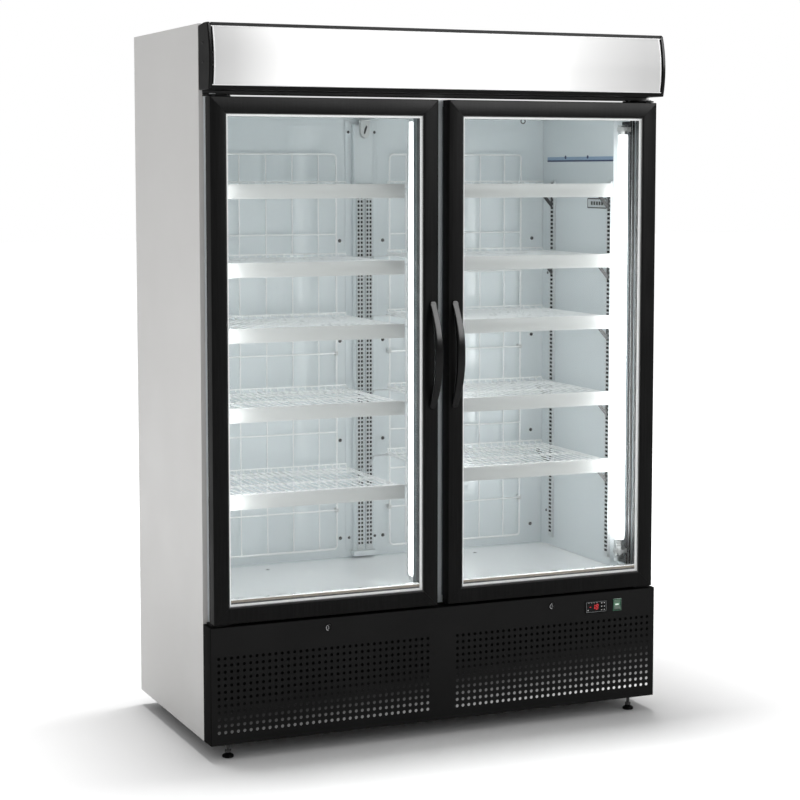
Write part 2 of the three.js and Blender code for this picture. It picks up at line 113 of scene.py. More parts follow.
class Sketch:
    drawn = []

    def __init__(self, name, material, slot=None, replaces=None, body="cabinet",
                 bevel=0.0, steps=2, smooth=35):
        self.name, self.material, self.slot, self.replaces = name, material, slot, replaces
        self.body, self.bevel, self.steps, self.smooth = body, bevel, steps, smooth
        self.bm = bmesh.new()
        Sketch.drawn.append(self)

    def loop(self, points):
        return [self.bm.verts.new(p) for p in points]

    def skin(self, a, b):
        """Quads between two closed rows of corners."""
        for i in range(len(a)):
            j = (i + 1) % len(a)
            self.bm.faces.new((a[i], a[j], b[j], b[i]))

    def close(self, rows):
        """Quads from row to row, with a face on the first and the last."""
        for a, b in zip(rows, rows[1:]):
            self.skin(a, b)
        self.bm.faces.new(rows[0])
        self.bm.faces.new(rows[-1])

    def box(self, a, b):
        """A box between any two opposite corners."""
        return self.prism(rectangle((a[0], b[0]), (a[1], b[1])), "z", a[2], b[2])

    def pair(self, x, y, z):
        """A box between limits of x, y and z, and its mirror image on the other side."""
        for side in SIDES.values():
            self.box((side * x[0], y[0], z[0]), (side * x[1], y[1], z[1]))
        return self

    def prism(self, outline, axis, start, end):
        """An outline in the two other axes, in their order, run along an axis."""
        place = PLACES[axis]
        self.close([self.loop([place(*p, w) for p in outline]) for w in (start, end)])
        return self

    def plate(self, outline, holes, axis, start, end):
        """A flat sheet with convex holes right through it."""
        loops = [outline, *holes]
        flat = [Vector(p) for loop in loops for p in loop]
        owner = [k for k, loop in enumerate(loops) for _ in loop]
        edges = []
        for loop in loops:
            first = len(edges)
            edges += [(first + i, first + (i + 1) % len(loop)) for i in range(len(loop))]
        triangles = delaunay_2d_cdt(flat, edges, [], 1, 1e-6)[2]
        place = PLACES[axis]
        near, far = (self.loop([place(p.x, p.y, w) for p in flat]) for w in (start, end))
        for face in triangles:
            owners = {owner[i] for i in face}
            if len(owners) == 1 and owners != {0}:
                continue
            self.bm.faces.new([near[i] for i in face])
            self.bm.faces.new([far[i] for i in reversed(face)])
        for i, j in edges:
            self.bm.faces.new((near[j], near[i], far[i], far[j]))
        return self

    def slotted(self, axis, limits, columns, z, w, size, pitch=12.5):
        """An upright sheet from w[0] to w[1], with columns of slots at an even pitch."""
        count = int((z[1] - z[0] - 30) // pitch) + 1
        heights = [z[0] + 20 + pitch * k for k in range(count)]
        slots = [around(c, h, *size) for c in columns for h in heights]
        return self.plate(rectangle(limits, z), slots, axis, *w)

    def tube(self, points, radius, count=10, closed=False):
        """A round wire or pipe along points."""
        path = [Vector(p) for p in points]
        total = len(path)
        rows = []
        normal = None
        for i, p in enumerate(path):
            ahead = path[(i + 1) % total] if closed or i < total - 1 else p
            behind = path[i - 1] if closed or i else p
            tangent = (ahead - behind).normalized()
            if normal is None:
                helper = Vector((0, 0, 1)) if abs(tangent.z) < 0.9 else Vector((1, 0, 0))
                normal = tangent.cross(helper).normalized()
            normal = (normal - tangent * normal.dot(tangent)).normalized()
            side = tangent.cross(normal)
            turns = [2 * pi * k / count for k in range(count)]
            rows.append(self.loop([p + (normal * cos(a) + side * sin(a)) * radius for a in turns]))
        if closed:
            for a, b in zip(rows, [*rows[1:], rows[0]]):
                self.skin(a, b)
        else:
            self.close(rows)
        return self

    def rod(self, start, end, radius, count=10):
        return self.tube([start, end], radius, count)

    def hoop(self, u, v, radius, axis, w, wire, count=36, sides=6):
        """A round wire bent to a ring that faces an axis."""
        ring = [PLACES[axis](a, b, w) for a, b in circle(u, v, radius, count)]
        return self.tube(ring, wire, sides, closed=True)

    def spokes(self, u, v, radii, axis, w, wire, count, turn=0.0):
        """Straight wires from an inner to an outer circle."""
        for start, end in zip(*(circle(u, v, r, count, turn) for r in radii)):
            self.rod(PLACES[axis](*start, w), PLACES[axis](*end, w), wire, 6)

    def turned(self, profile, middle, axis, count=24):
        """A profile of (radius, height) points turned about an axis through middle."""
        place = PLACES[axis]
        u, v, w = {"x": (1, 2, 0), "y": (0, 2, 1), "z": (0, 1, 2)}[axis]
        rows = []
        for r, h in profile:
            ring = circle(middle[u], middle[v], r, count) if r else [(middle[u], middle[v])]
            rows.append(self.loop([place(a, b, middle[w] + h) for a, b in ring]))
        for a, b in zip(rows, rows[1:]):
            if len(a) == len(b):
                self.skin(a, b)
            else:
                tip, ring = (a[0], b) if len(a) == 1 else (b[0], a)
                for i in range(count):
                    self.bm.faces.new((tip, ring[i], ring[(i + 1) % count]))
        for row in (rows[0], rows[-1]):
            if len(row) > 1:
                self.bm.faces.new(row)
        return self

    def mitred(self, x, z, profile, joint=0.0):
        """Four profiles of (inset, y) points round a rectangle, each mitred at its corners."""
        corners = rectangle(x, z)
        inward = rectangle((1, -1), (1, -1))
        for side in range(4):
            ends = []
            for here, there in ((side, (side + 1) % 4), ((side + 1) % 4, side)):
                (u, v), (in_u, in_v), (end_u, end_v) = corners[here], inward[here], corners[there]
                u += copysign(joint, end_u - u) if end_u != u else 0
                v += copysign(joint, end_v - v) if end_v != v else 0
                ends.append(self.loop([(u + in_u * d, y, v + in_v * d) for d, y in profile]))
            self.skin(*ends)
            if joint:
                self.bm.faces.new(ends[0])
                self.bm.faces.new(ends[1])
        return self

    def screws(self, x, y, z, axis, facing, radius=4.0, height=2.0):
        """Pan head screws at each x, y and z, their heads rising towards facing (+1 or -1)."""
        dome = [(0, 0), (1, 0), (1, 0.35), (0.82, 0.8), (0.4, 1), (0, 1)]
        profile = [(radius * r, facing * h * height) for r, h in dome]
        for at in product(x, y, z):
            self.turned(profile, at, axis, 12)
        return self

    def finish(self):
        bmesh.ops.remove_doubles(self.bm, verts=self.bm.verts, dist=1e-4)
        bmesh.ops.recalc_face_normals(self.bm, faces=self.bm.faces)
        bmesh.ops.scale(self.bm, vec=(UNIT, UNIT, UNIT), verts=self.bm.verts)
        mesh = bpy.data.meshes.new(self.name)
        self.bm.to_mesh(mesh)
        self.bm.free()
        mesh.materials.append(self.material)
        mesh.shade_smooth()
        mesh.set_sharp_from_angle(angle=radians(self.smooth))
        made = bpy.data.objects.new(self.name, mesh)
        bpy.context.scene.collection.objects.link(made)
        if self.bevel:
            rounding = made.modifiers.new("edge_rounding", "BEVEL")
            rounding.width = self.bevel * UNIT
            rounding.segments = self.steps
            rounding.limit_method = "ANGLE"
            rounding.angle_limit = radians(40)
            rounding.harden_normals = False
        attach(made, self.body)
        if self.replaces:
            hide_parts(self.replaces)


# ---------------------------------------------------------------- materials


def grey(level):
    return (level, level, level)


def shaded(colour, factor):
    return [min(1.0, c * factor) for c in colour]


class Finish:
    """A procedural material around one Principled shader."""

    def __init__(self, name, **sockets):
        self.material = bpy.data.materials.new(name)
        self.material.use_nodes = True
        self.tree = self.material.node_tree
        self.shader = self.tree.nodes["Principled BSDF"]
        self.coordinates = self.tree.nodes.new("ShaderNodeTexCoord").outputs["Object"]
        for socket, value in sockets.items():
            self.shader.inputs[socket.replace("_", " ")].default_value = value

    def add(self, kind, inputs, output, **settings):
        """A node with its settings and inputs, given as its output."""
        node = self.tree.nodes.new(f"ShaderNode{kind}")
        for key, value in settings.items():
            setattr(node, key, value)
        for socket, value in inputs.items():
            if isinstance(value, bpy.types.NodeSocket):
                self.tree.links.new(value, node.inputs[socket])
            else:
                node.inputs[socket].default_value = value
        return node.outputs[output]

    def feed(self, value, socket):
        self.tree.links.new(value, self.shader.inputs[socket])
        return self

    def mapped(self, stretch):
        return self.add("Mapping", {"Vector": self.coordinates, "Scale": stretch}, "Vector")

    def noise(self, scale, stretch=(1, 1, 1), detail=3):
        inputs = {"Vector": self.mapped(stretch), "Scale": scale, "Detail": detail}
        return self.add("TexNoise", inputs, "Fac")

    def cells(self, scale):
        inputs = {"Vector": self.mapped((1, 1, 1)), "Scale": scale}
        colour = self.add("TexVoronoi", inputs, "Color")
        return self.add("SeparateColor", {"Color": colour}, "Red")

    def ramp(self, value, stops):
        out = self.add("ValToRGB", {"Fac": value}, "Color")
        elements = out.node.color_ramp.elements
        while len(elements) < len(stops):
            elements.new(0.5)
        for element, (position, colour) in zip(elements, stops):
            element.position = position
            element.color = (*colour, 1)
        return out

    def spread(self, value, start, end, low, high):
        limits = {"From Min": start, "From Max": end, "To Min": low, "To Max": high}
        return self.add("MapRange", {"Value": value, **limits}, "Result")

    def colour(self, value, dark, light, limits=(0.35, 0.65)):
        stops = [(limits[0], dark), (limits[1], light)]
        return self.feed(self.ramp(value, stops), "Base Color")

    def rough(self, value, low, high):
        return self.feed(self.spread(value, 0.3, 0.7, low, high), "Roughness")

    def bump(self, value, strength, distance):
        inputs = {"Height": value, "Strength": strength, "Distance": distance * UNIT}
        return self.feed(self.add("Bump", inputs, "Normal"), "Normal")

    def lit(self, value, span, colour, stops, strength):
        """Light of a colour, at the share that the stops give over a span in millimetres."""
        share = self.spread(value, span[0] * UNIT, span[1] * UNIT, 0.0, 1.0)
        shades = [(at, [c * level for c in colour]) for at, level in stops]
        self.shader.inputs["Emission Strength"].default_value = strength
        return self.feed(self.ramp(share, shades), "Emission Color")


def painted(name, colour, rough, spread, cloud, texture=(500, 0.12, 0.25), gloss=0.5, **sockets):
    """Paint or plastic: faint cloudiness, uneven gloss and a fine surface texture."""
    made = Finish(name, Specular_IOR_Level=gloss, **sockets)
    made.colour(made.noise(cloud), shaded(colour, 1 - spread), shaded(colour, 1 + spread))
    made.rough(made.noise(cloud * 3), rough - 0.05, rough + 0.05)
    scale, strength, depth = texture
    return made.bump(made.noise(scale, detail=2), strength, depth).material


def drawn_metal(name, colour, rough, stretch, spread=0.12):
    """Bare or plated metal with fine lines in its drawing direction."""
    made = Finish(name, Metallic=1.0)
    lines = made.noise(60, stretch, detail=4)
    made.colour(lines, shaded(colour, 1 - spread), shaded(colour, 1 + spread))
    made.rough(lines, rough - 0.07, rough + 0.07)
    return made.bump(lines, 0.15, 0.1).material


def galvanised(name, colour, rough, scale=70):
    """Zinc with its spangle of crystals."""
    made = Finish(name, Metallic=0.75)
    spangle = made.cells(scale)
    made.colour(spangle, shaded(colour, 0.92), colour, (0.1, 0.9))
    made.rough(spangle, rough - 0.05, rough + 0.05)
    return made.bump(made.noise(scale * 8), 0.08, 0.15).material


def see_through(name, tint, gloss, rough):
    """Sheet glass, clear but for a reflection that grows at a slant between two shares."""
    made = Finish(name)
    made.tree.nodes.remove(made.shader)
    uneven = made.spread(made.noise(3.0, (1, 1, 0.4)), 0.0, 1.0, rough, rough * 2.5)
    clear = made.add("BsdfTransparent", {"Color": (*tint, 1)}, "BSDF")
    shine = made.add("BsdfGlossy", {"Color": (1, 1, 1, 1), "Roughness": uneven}, "BSDF")
    slant = made.add("LayerWeight", {"Blend": 0.5}, "Facing")
    steep = made.add("Math", {0: slant, 1: 5.0}, "Value", operation="POWER")
    share = made.spread(steep, 0.0, 1.0, *gloss)
    mixed = made.add("MixShader", {0: share, 1: clear, 2: shine}, "Shader")
    made.tree.links.new(mixed, made.tree.nodes["Material Output"].inputs["Surface"])
    return made.material


def glowing(name, colour, strength, stops=((0, 1), (1, 1)), axis="Z", span=(0, 1), rough=0.4,
            base=0.8):
    """A lit surface, brighter or dimmer along an axis as its stops say."""
    made = Finish(name, Roughness=rough, Specular_IOR_Level=0.04)
    made.colour(made.noise(4), grey(base * 0.97), grey(base))
    along = made.add("SeparateXYZ", {"Vector": made.coordinates}, axis)
    return made.lit(along, span, colour, stops, strength).material


def frame_metal():
    """Black anodised profile with faint lines along its length."""
    made = Finish("black_anodised_profile", Specular_IOR_Level=0.05)
    lines = made.noise(180, (1, 1, 0.05))
    made.colour(lines, grey(0.0035), grey(0.006))
    made.rough(made.noise(6), 0.32, 0.42)
    return made.bump(lines, 0.05, 0.08).material


def filter_mat():
    """Black mat behind the grille with painted light: it glows at its foot, higher to the right, in
    place of light from the floor.
    """
    made = Finish("black_mat_with_painted_glow", Roughness=0.9, Specular_IOR_Level=0.02)
    made.colour(made.noise(700), grey(0.0015), grey(0.003))
    axes = made.add("SeparateXYZ", {"Vector": made.coordinates}, "X").node.outputs
    slope, span = {0: axes["X"], 1: -0.062, 2: axes["Z"]}, (39, 206)
    height = made.add("Math", slope, "Value", operation="MULTIPLY_ADD")
    stops = [(0.0, 0.80), (0.11, 0.45), (0.22, 0.26), (0.33, 0.17), (0.42, 0.12), (0.5, 0.07),
             (0.61, 0.03), (0.72, 0.013), (0.83, 0.005), (1.0, 0.001)]
    return made.lit(height, span, grey(1.0), stops, 1.0).material


side_lo, side_hi = extent("left_side_panel")
FRONT, BACK = side_lo.y, side_hi.y
HALF = -side_lo.x
BASE_Z, TOP_Z = side_lo.z, side_hi.z
TUBE_Z = (506, 1706)
CANOPY_TUBE = 1300
WHITE = (1.0, 1.0, 1.0)

SKIN = painted("grey_skin_paint", (0.54, 0.535, 0.525), 0.42, 0.025, 1.2, (900, 0.10, 0.12))
# The top sheet is a darker grey than the sides: painted shade against the strong light from overhead.
TOP_PAINTED_SHADE = painted("grey_top_painted_shade", (0.33, 0.33, 0.325), 0.6, 0.05, 2.0, (700, 0.2, 0.2), 0.03)
LINER = painted(
    "white_liner_enamel", (0.80, 0.85, 0.868), 0.2, 0.02, 1.5, (350, 0.05, 0.1),
    Coat_Weight=0.3, Coat_Roughness=0.08,
)
# The inner floor sheet glows faintly: painted light.
FLOOR_SHEET_PAINTED_GLOW = painted(
    "floor_sheet_painted_glow", (0.94, 0.955, 0.96), 0.14, 0.015, 1.5, (350, 0.04, 0.1),
    Coat_Weight=0.5, Coat_Roughness=0.06, Emission_Color=(1, 1, 1, 1), Emission_Strength=0.07,
)
BLACK_STEEL = painted("black_powder_coat", grey(0.0098), 0.5, 0.12, 3, (1400, 0.35, 0.12), 0.04)
# A darker, less glossy copy of the black powder coat for the kick panel's folds: painted shade.
FOLD_SHADED_BLACK = painted("black_folded_edge_painted_shade", grey(0.006), 0.6, 0.12, 3, (1400, 0.35, 0.12), 0.01)
BLACK_PLASTIC = painted("black_moulded_plastic", grey(0.006), 0.36, 0.1, 4, (1800, 0.2, 0.08), 0.04)
HANDLE_PLASTIC = painted("black_handle_plastic", grey(0.003), 0.22, 0.1, 4, (1500, 0.1, 0.08), 0.13)
GLOSS_BLACK = painted("gloss_black_edge", grey(0.005), 0.2, 0.1, 4, (600, 0.04, 0.1), 0.1)
WIRE = painted(
    "white_epoxy_wire", (0.95, 0.96, 0.96), 0.3, 0.03, 6, (900, 0.12, 0.15), Coat_Weight=0.2
)
RAIL = painted("white_price_rail", (0.68, 0.69, 0.685), 0.35, 0.02, 2, (700, 0.05, 0.1), 0.15)
RUBBER = painted("black_rubber", grey(0.013), 0.75, 0.15, 8, (1200, 0.4, 0.2))
GASKET = painted("grey_gasket_vinyl", (0.10, 0.122, 0.13), 0.6, 0.06, 5, (1000, 0.2, 0.15))
SLOTTED = painted(
    "grey_slotted_track", (0.27, 0.285, 0.29), 0.4, 0.08, 6, (900, 0.15, 0.15), Metallic=0.3
)
SURROUND_GREEN = painted("dark_green_surround", (0.012, 0.07, 0.035), 0.2, 0.1, 5)
# Dark blue-grey laid on the white liner beside the lamps: painted shade.
SHADE_BLUE = painted("painted_shade_blue_strip", (0.036, 0.046, 0.05), 0.5, 0.03, 3)
MUTED_BLUE = painted("blue_grey_breaker", (0.10, 0.128, 0.138), 0.35, 0.03, 3)
# Dark steel for clips, screws and small parts, also used as painted shade on the glass spacer and behind
# the slots of the centre pilaster.
DARK_STEEL_AND_SHADE = painted("dark_steel_and_painted_shade", grey(0.05), 0.45, 0.15, 6, (800, 0.2, 0.15))
WHITE_PRINT = painted("white_print", grey(0.78), 0.5, 0.04, 8)
NAVY_PRINT = painted("navy_print", (0.02, 0.04, 0.12), 0.4, 0.1, 8)
PALE_PRINT = painted("pale_blue_print", (0.30, 0.42, 0.58), 0.4, 0.04, 8)
BRIGHT_ZINC = painted("pale_slotted_track", (0.62, 0.645, 0.655), 0.35, 0.05, 6, (900, 0.15, 0.15))
ZINC = galvanised("zinc_spangle", (0.50, 0.512, 0.52), 0.4)
BRONZE = drawn_metal("bronze_sill_line", (0.20, 0.18, 0.15), 0.35, (8, 1, 1))
STEEL = drawn_metal("bare_steel", (0.52, 0.53, 0.54), 0.28, (1, 1, 12))
SILVER = drawn_metal("silver_spacer_bar", (0.78, 0.79, 0.79), 0.3, (1, 1, 8), 0.06)
ALUMINIUM = drawn_metal("aluminium_fin", (0.66, 0.68, 0.69), 0.35, (1, 1, 20))
COPPER = drawn_metal("copper_pipe", (0.72, 0.36, 0.2), 0.32, (6, 6, 1))
LOCK_METAL = drawn_metal("nickel_lock", (0.42, 0.425, 0.43), 0.25, (10, 1, 1))
GLASS = see_through("clear_glass", (0.985, 0.990, 0.989), (0.006, 0.5), 0.02)
FRAME = frame_metal()
# The filter mat glows with painted light, in place of the lit floor seen through the grille.
FILTER_MAT_PAINTED_GLOW = filter_mat()

CANOPY_GLOW = glowing(
    "lit_opal_sheet", (1.0, 1.0, 0.995), 0.95,
    [(0.0, 0.3), (0.05, 0.4), (0.09, 0.56), (0.2, 1.0), (0.70, 1.0), (0.80, 0.66), (0.87, 0.5),
     (0.95, 0.36), (1.0, 0.34)],
    "X", (-HALF, HALF), 0.25, 0.3,
)
CANOPY_TUBE_GLOW = glowing(
    "lit_canopy_tube", WHITE, 1.2, [(0.0, 0.3), (0.02, 1.0), (0.98, 1.0), (1.0, 0.3)],
    "X", (-CANOPY_TUBE / 2, CANOPY_TUBE / 2), 0.3,
)
TUBE_GLOW = glowing(
    "lit_lamp_tube", WHITE, 10.4,
    [(0.0, 0.3), (0.03, 1.25), (0.35, 1.1), (0.7, 0.95), (0.9, 0.4), (1.0, 0.25)], "Z", TUBE_Z, 0.3,
)
CENTRE_GLOW = glowing(
    "lit_centre_cover", WHITE, 6.0, [(0.0, 0.3), (0.03, 1.0), (0.7, 1.0), (0.9, 0.4), (1.0, 0.25)],
    "Z", (436, 1739), 0.3,
)
GREEN_GLOW = glowing(
    "lit_green_rocker", (0.10, 0.62, 0.25), 0.35,
    [(0.0, 0.1), (0.42, 0.3), (0.55, 1.0), (0.75, 0.25), (1.0, 0.4)], "Z", (316, 344), 0.3, 0.12,
)
RED_GLOW = glowing("red_display_digits", (1.0, 0.02, 0.03), 0.8, base=0.05)
# The header strip glows: painted light from the canopy lamp falling on it.
HEADER_PAINTED_LIGHT = glowing("header_strip_painted_light", WHITE, 0.75, base=0.7)
# The spacer's front face glows faintly: painted light.
SPACER_FACE_PAINTED_GLOW = glowing("spacer_face_painted_glow", WHITE, 0.2, base=0.82)
LENS_GLOW = glowing("lit_rocker_lens", (0.8, 1.0, 0.85), 0.5, base=0.4)

NODE_FINISH = {
    "grey_painted_steel": SKIN,
    "white_liner": LINER,
    "zinc_plated_steel": ZINC,
    "black_painted_steel": BLACK_STEEL,
    "black_plastic": BLACK_PLASTIC,
    "black_door_frame": FRAME,
    "clear_glass": GLASS,
    "grey_gasket": GASKET,
    "white_coated_wire": WIRE,
    "canopy_diffuser": CANOPY_GLOW,
    "lamp": TUBE_GLOW,
    "lock_metal": LOCK_METAL,
    "aluminium_fins": ALUMINIUM,
    "green_rocker": GREEN_GLOW,
}


def dress_cad_nodes():
    """A finish for each CAD node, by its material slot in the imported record."""
    for part in frame["record"]["subparts"]:
        materials = frame["nodes"][part["node"]].data.materials
        materials.clear()
        materials.append(NODE_FINISH[part["material_slot"]])


# ---------------------------------------------------------------- cabinet body


def build_skins():
    """Back sheet, top sheet and the screws that hold the outer skins."""
    rear, above = BACK + 1.5, TOP_Z - 0.5
    rear_x, rear_z = (-640, -320, 0, 320, 640), (352, 760, 1170, 1580, 1960)
    top_x, top_y = (-600, 0, 600), (FRONT + 40, BACK - 40)
    Sketch("rear_sheet", ZINC, "zinc_plated_steel").plate(
        rectangle((-669, 669), (338, TOP_Z - 4)),
        [circle(x, z, 2.2, 8) for x, z in product(rear_x, rear_z)], "y", BACK + 0.3, rear,
    )
    ribs = Sketch("rear_sheet_ribs", ZINC, "zinc_plated_steel")
    for x in (-400, 0, 400):
        ridge = [(x - 16, rear), (x - 9, BACK + 5), (x + 9, BACK + 5), (x + 16, rear)]
        ribs.prism(ridge, "z", 420, 1880)
    # Top sheet in the darker grey: painted shade.
    Sketch("top_sheet", TOP_PAINTED_SHADE, "grey_painted_steel").plate(
        rectangle((-HALF + 2, HALF - 2), (FRONT + 2, BACK - 2), 2),
        [circle(x, y, 2.2, 8) for x, y in product(top_x, top_y)], "z", TOP_Z - 1.7, above,
    )
    screws = Sketch("skin_screws", STEEL).screws(rear_x, [rear], rear_z, "y", 1)
    screws.screws(top_x, top_y, [above], "z", 1, 3.5, 1.6)
    edge = (10 - HALF, HALF - 10)
    screws.screws(edge, [BACK], (90, 300, 640, 1000, 1360, 1720, 1950), "y", 1, 3.5, 1.8)


def build_rear_grille():
    """Cover over the rear of the machine compartment, slotted in its upper half."""
    low, high = BASE_Z + 32, 330
    slots = [around(x, z, 52, 6) for x in range(-600, 601, 75) for z in range(176, high - 14, 16)]
    Sketch("rear_grille", BLACK_STEEL, "black_painted_steel").plate(
        rectangle((-666, 666), (low, high)), slots, "y", BACK - 1.6, BACK - 0.4
    )
    screws = Sketch("rear_grille_screws", STEEL)
    screws.screws((-650, -217, 217, 650), [BACK - 0.4], (low + 8, high - 8), "y", 1, 3.5, 1.8)


FIELD_X = [46 + 18.24 * i for i in range(35)]
FIELD_Z = [81 + 18.55 * i for i in range(12)]
FEET = [f"{place}_foot" for place in ("front_left", "front_right", "rear_left", "rear_right")]
LOCK_X, LOCK_Z = 348, 344
ROCKER_Z = 330
kick_lo, kick_hi = extent("kick_panel")
KICK_FACE = kick_lo.y


def build_kick_panel():
    """Folded front panel with two fields of round holes."""
    control_lo, control_hi = extent("controller")
    rocker = centre("rocker_switch")
    holes = [circle(s * x, z, 4.7) for s, x, z in product(SIDES.values(), FIELD_X, FIELD_Z)]
    holes += [circle(centre(f"{name}_lock").x, LOCK_Z, 9.5, 20) for name in SIDES]
    holes.append(rectangle((control_lo.x + 3, control_hi.x - 3), (control_lo.z + 3, 345)))
    holes.append(around(rocker.x, rocker.z, 22, 32))
    Sketch("kick_panel_sheet", BLACK_STEEL, "black_painted_steel", "kick_panel").plate(
        rectangle((-HALF + 2, HALF - 2), (kick_lo.z, kick_hi.z - 2)), holes,
        "y", KICK_FACE, KICK_FACE + 1.5,
    )
    # The folds take the darker copy of the black paint: painted shade.
    folds = Sketch("kick_panel_folds", FOLD_SHADED_BLACK, "black_painted_steel")
    sheet, bend = 1.5, 2.0
    turns = (1.571, 1.178, 0.785, 0.393, 0)
    arc = [(bend * (1 - cos(a)), bend * (1 - sin(a))) for a in turns]
    for side in SIDES.values():
        outer = [(side * (HALF - u), KICK_FACE + v) for u, v in arc]
        inner = [(side * (HALF - sheet), y) for y in (kick_hi.y, KICK_FACE + bend)]
        end = (side * (HALF - bend), KICK_FACE + sheet)
        run = [*outer, (side * HALF, kick_hi.y), *inner, end]
        folds.prism(run, "z", kick_lo.z, kick_hi.z)
    top = [(KICK_FACE + v, kick_hi.z - u) for u, v in arc]
    top += [(kick_hi.y, kick_hi.z), (kick_hi.y, kick_hi.z - sheet)]
    top += [(KICK_FACE + bend, kick_hi.z - sheet), (KICK_FACE + sheet, kick_hi.z - bend)]
    folds.prism(top, "x", -HALF + 1.6, HALF - 1.6)
    lip = [(0, 0), (18, 0), (18, sheet), (sheet, sheet)]
    folds.prism([(KICK_FACE + v, kick_lo.z + w) for v, w in lip], "x", -HALF + 2, HALF - 2)


def build_filter():
    """Filter mats behind the holes of the kick panel, each on a dark carrier; the mats glow with painted
    light at their foot.
    """
    x, z = (FIELD_X[0] - 14, FIELD_X[-1] + 12), (FIELD_Z[0] - 12, FIELD_Z[-1] + 8)
    mat = Sketch("grille_filter_mat", FILTER_MAT_PAINTED_GLOW, bevel=0.4)
    mat.pair(x, (KICK_FACE + 8, KICK_FACE + 10), z)
    carrier = Sketch("grille_filter_carrier", BLACK_STEEL, bevel=0.4)
    carrier.pair(x, (KICK_FACE + 10.2, KICK_FACE + 11.4), z)


def build_under_sheet():
    """Black sheet under the cabinet, with a hole for each foot: painted shade that keeps the floor under
    the kick dark.
    """
    Sketch("base_under_sheet", BLACK_STEEL, "black_painted_steel").plate(
        rectangle((-HALF + 4, HALF - 4), (FRONT + 2, BACK - 4)),
        [circle(centre(foot).x, centre(foot).y, 11, 16) for foot in FEET],
        "z", BASE_Z - 1.4, BASE_Z - 0.2,
    )


def build_locks():
    """Lock barrels, each with a rim, a cylinder, a cam and a key slot."""
    rim = [(0, 24), (8.8, 24), (8.8, 0.8), (8.2, 0), (6.6, 0), (6.2, 0.8), (6.0, 1.2), (0, 1.2)]
    turns = [radians(100 + 8 * k) for k in range(22)]
    arc = [(7.9 * cos(a), 7.9 * sin(a)) for a in turns]
    arc += [(7.0 * cos(a), 7.0 * sin(a)) for a in reversed(turns)]
    for name, side in SIDES.items():
        x, z, body = side * LOCK_X, LOCK_Z, f"{name}_lock_barrel"
        barrel = Sketch(f"{name}_lock_body", GLOSS_BLACK, "lock_metal", f"{name}_lock", body, 0.3)
        barrel.turned(rim, (x, KICK_FACE - 2.5, z), "y", 32)
        barrel.prism(around(x, z - 10, 12, 32, 4), "y", KICK_FACE + 21.5, KICK_FACE + 25)
        bright = Sketch(f"{name}_lock_bright_edges", LOCK_METAL, body=body)
        bright.prism([(x + u, z + v) for u, v in arc], "y", KICK_FACE - 2.8, KICK_FACE - 2.3)
        bright.prism(around(x, z, 2.4, 8.8, 1.0), "y", KICK_FACE - 1.5, KICK_FACE - 1.2)
        slot = Sketch(f"{name}_lock_key_slot", BLACK_PLASTIC, body=body)
        slot.prism(around(x, z, 1.6, 8, 0.7), "y", KICK_FACE - 1.7, KICK_FACE - 1.2)


DIGITS = {"-": "g", "1": "bc", "8": "abcdefg"}


def seven_segments(x, z, width, height, lit):
    """The lit bars of one digit as outlines in x, z."""
    half, thick, lean = height / 2, 1.1, 0.14
    cut, taper = 0.9, 1.5
    bars = {
        "a": ((0, height), (width, height)), "b": ((width, half), (width, height)),
        "c": ((width, 0), (width, half)), "d": ((0, 0), (width, 0)), "e": ((0, 0), (0, half)),
        "f": ((0, half), (0, height)), "g": ((0, half), (width, half)),
    }
    outlines = []
    for key in lit:
        (u0, v0), (u1, v1) = bars[key]
        flat = v0 == v1
        start, end, level = (u0, u1, v0) if flat else (v0, v1, u0)
        run = [(start + cut, 0), (start + taper, thick), (end - taper, thick), (end - cut, 0),
               (end - taper, -thick), (start + taper, -thick)]
        points = [(a, level + b) if flat else (level + b, a) for a, b in run]
        outlines.append([(x + u + lean * v, z + v) for u, v in points])
    return outlines


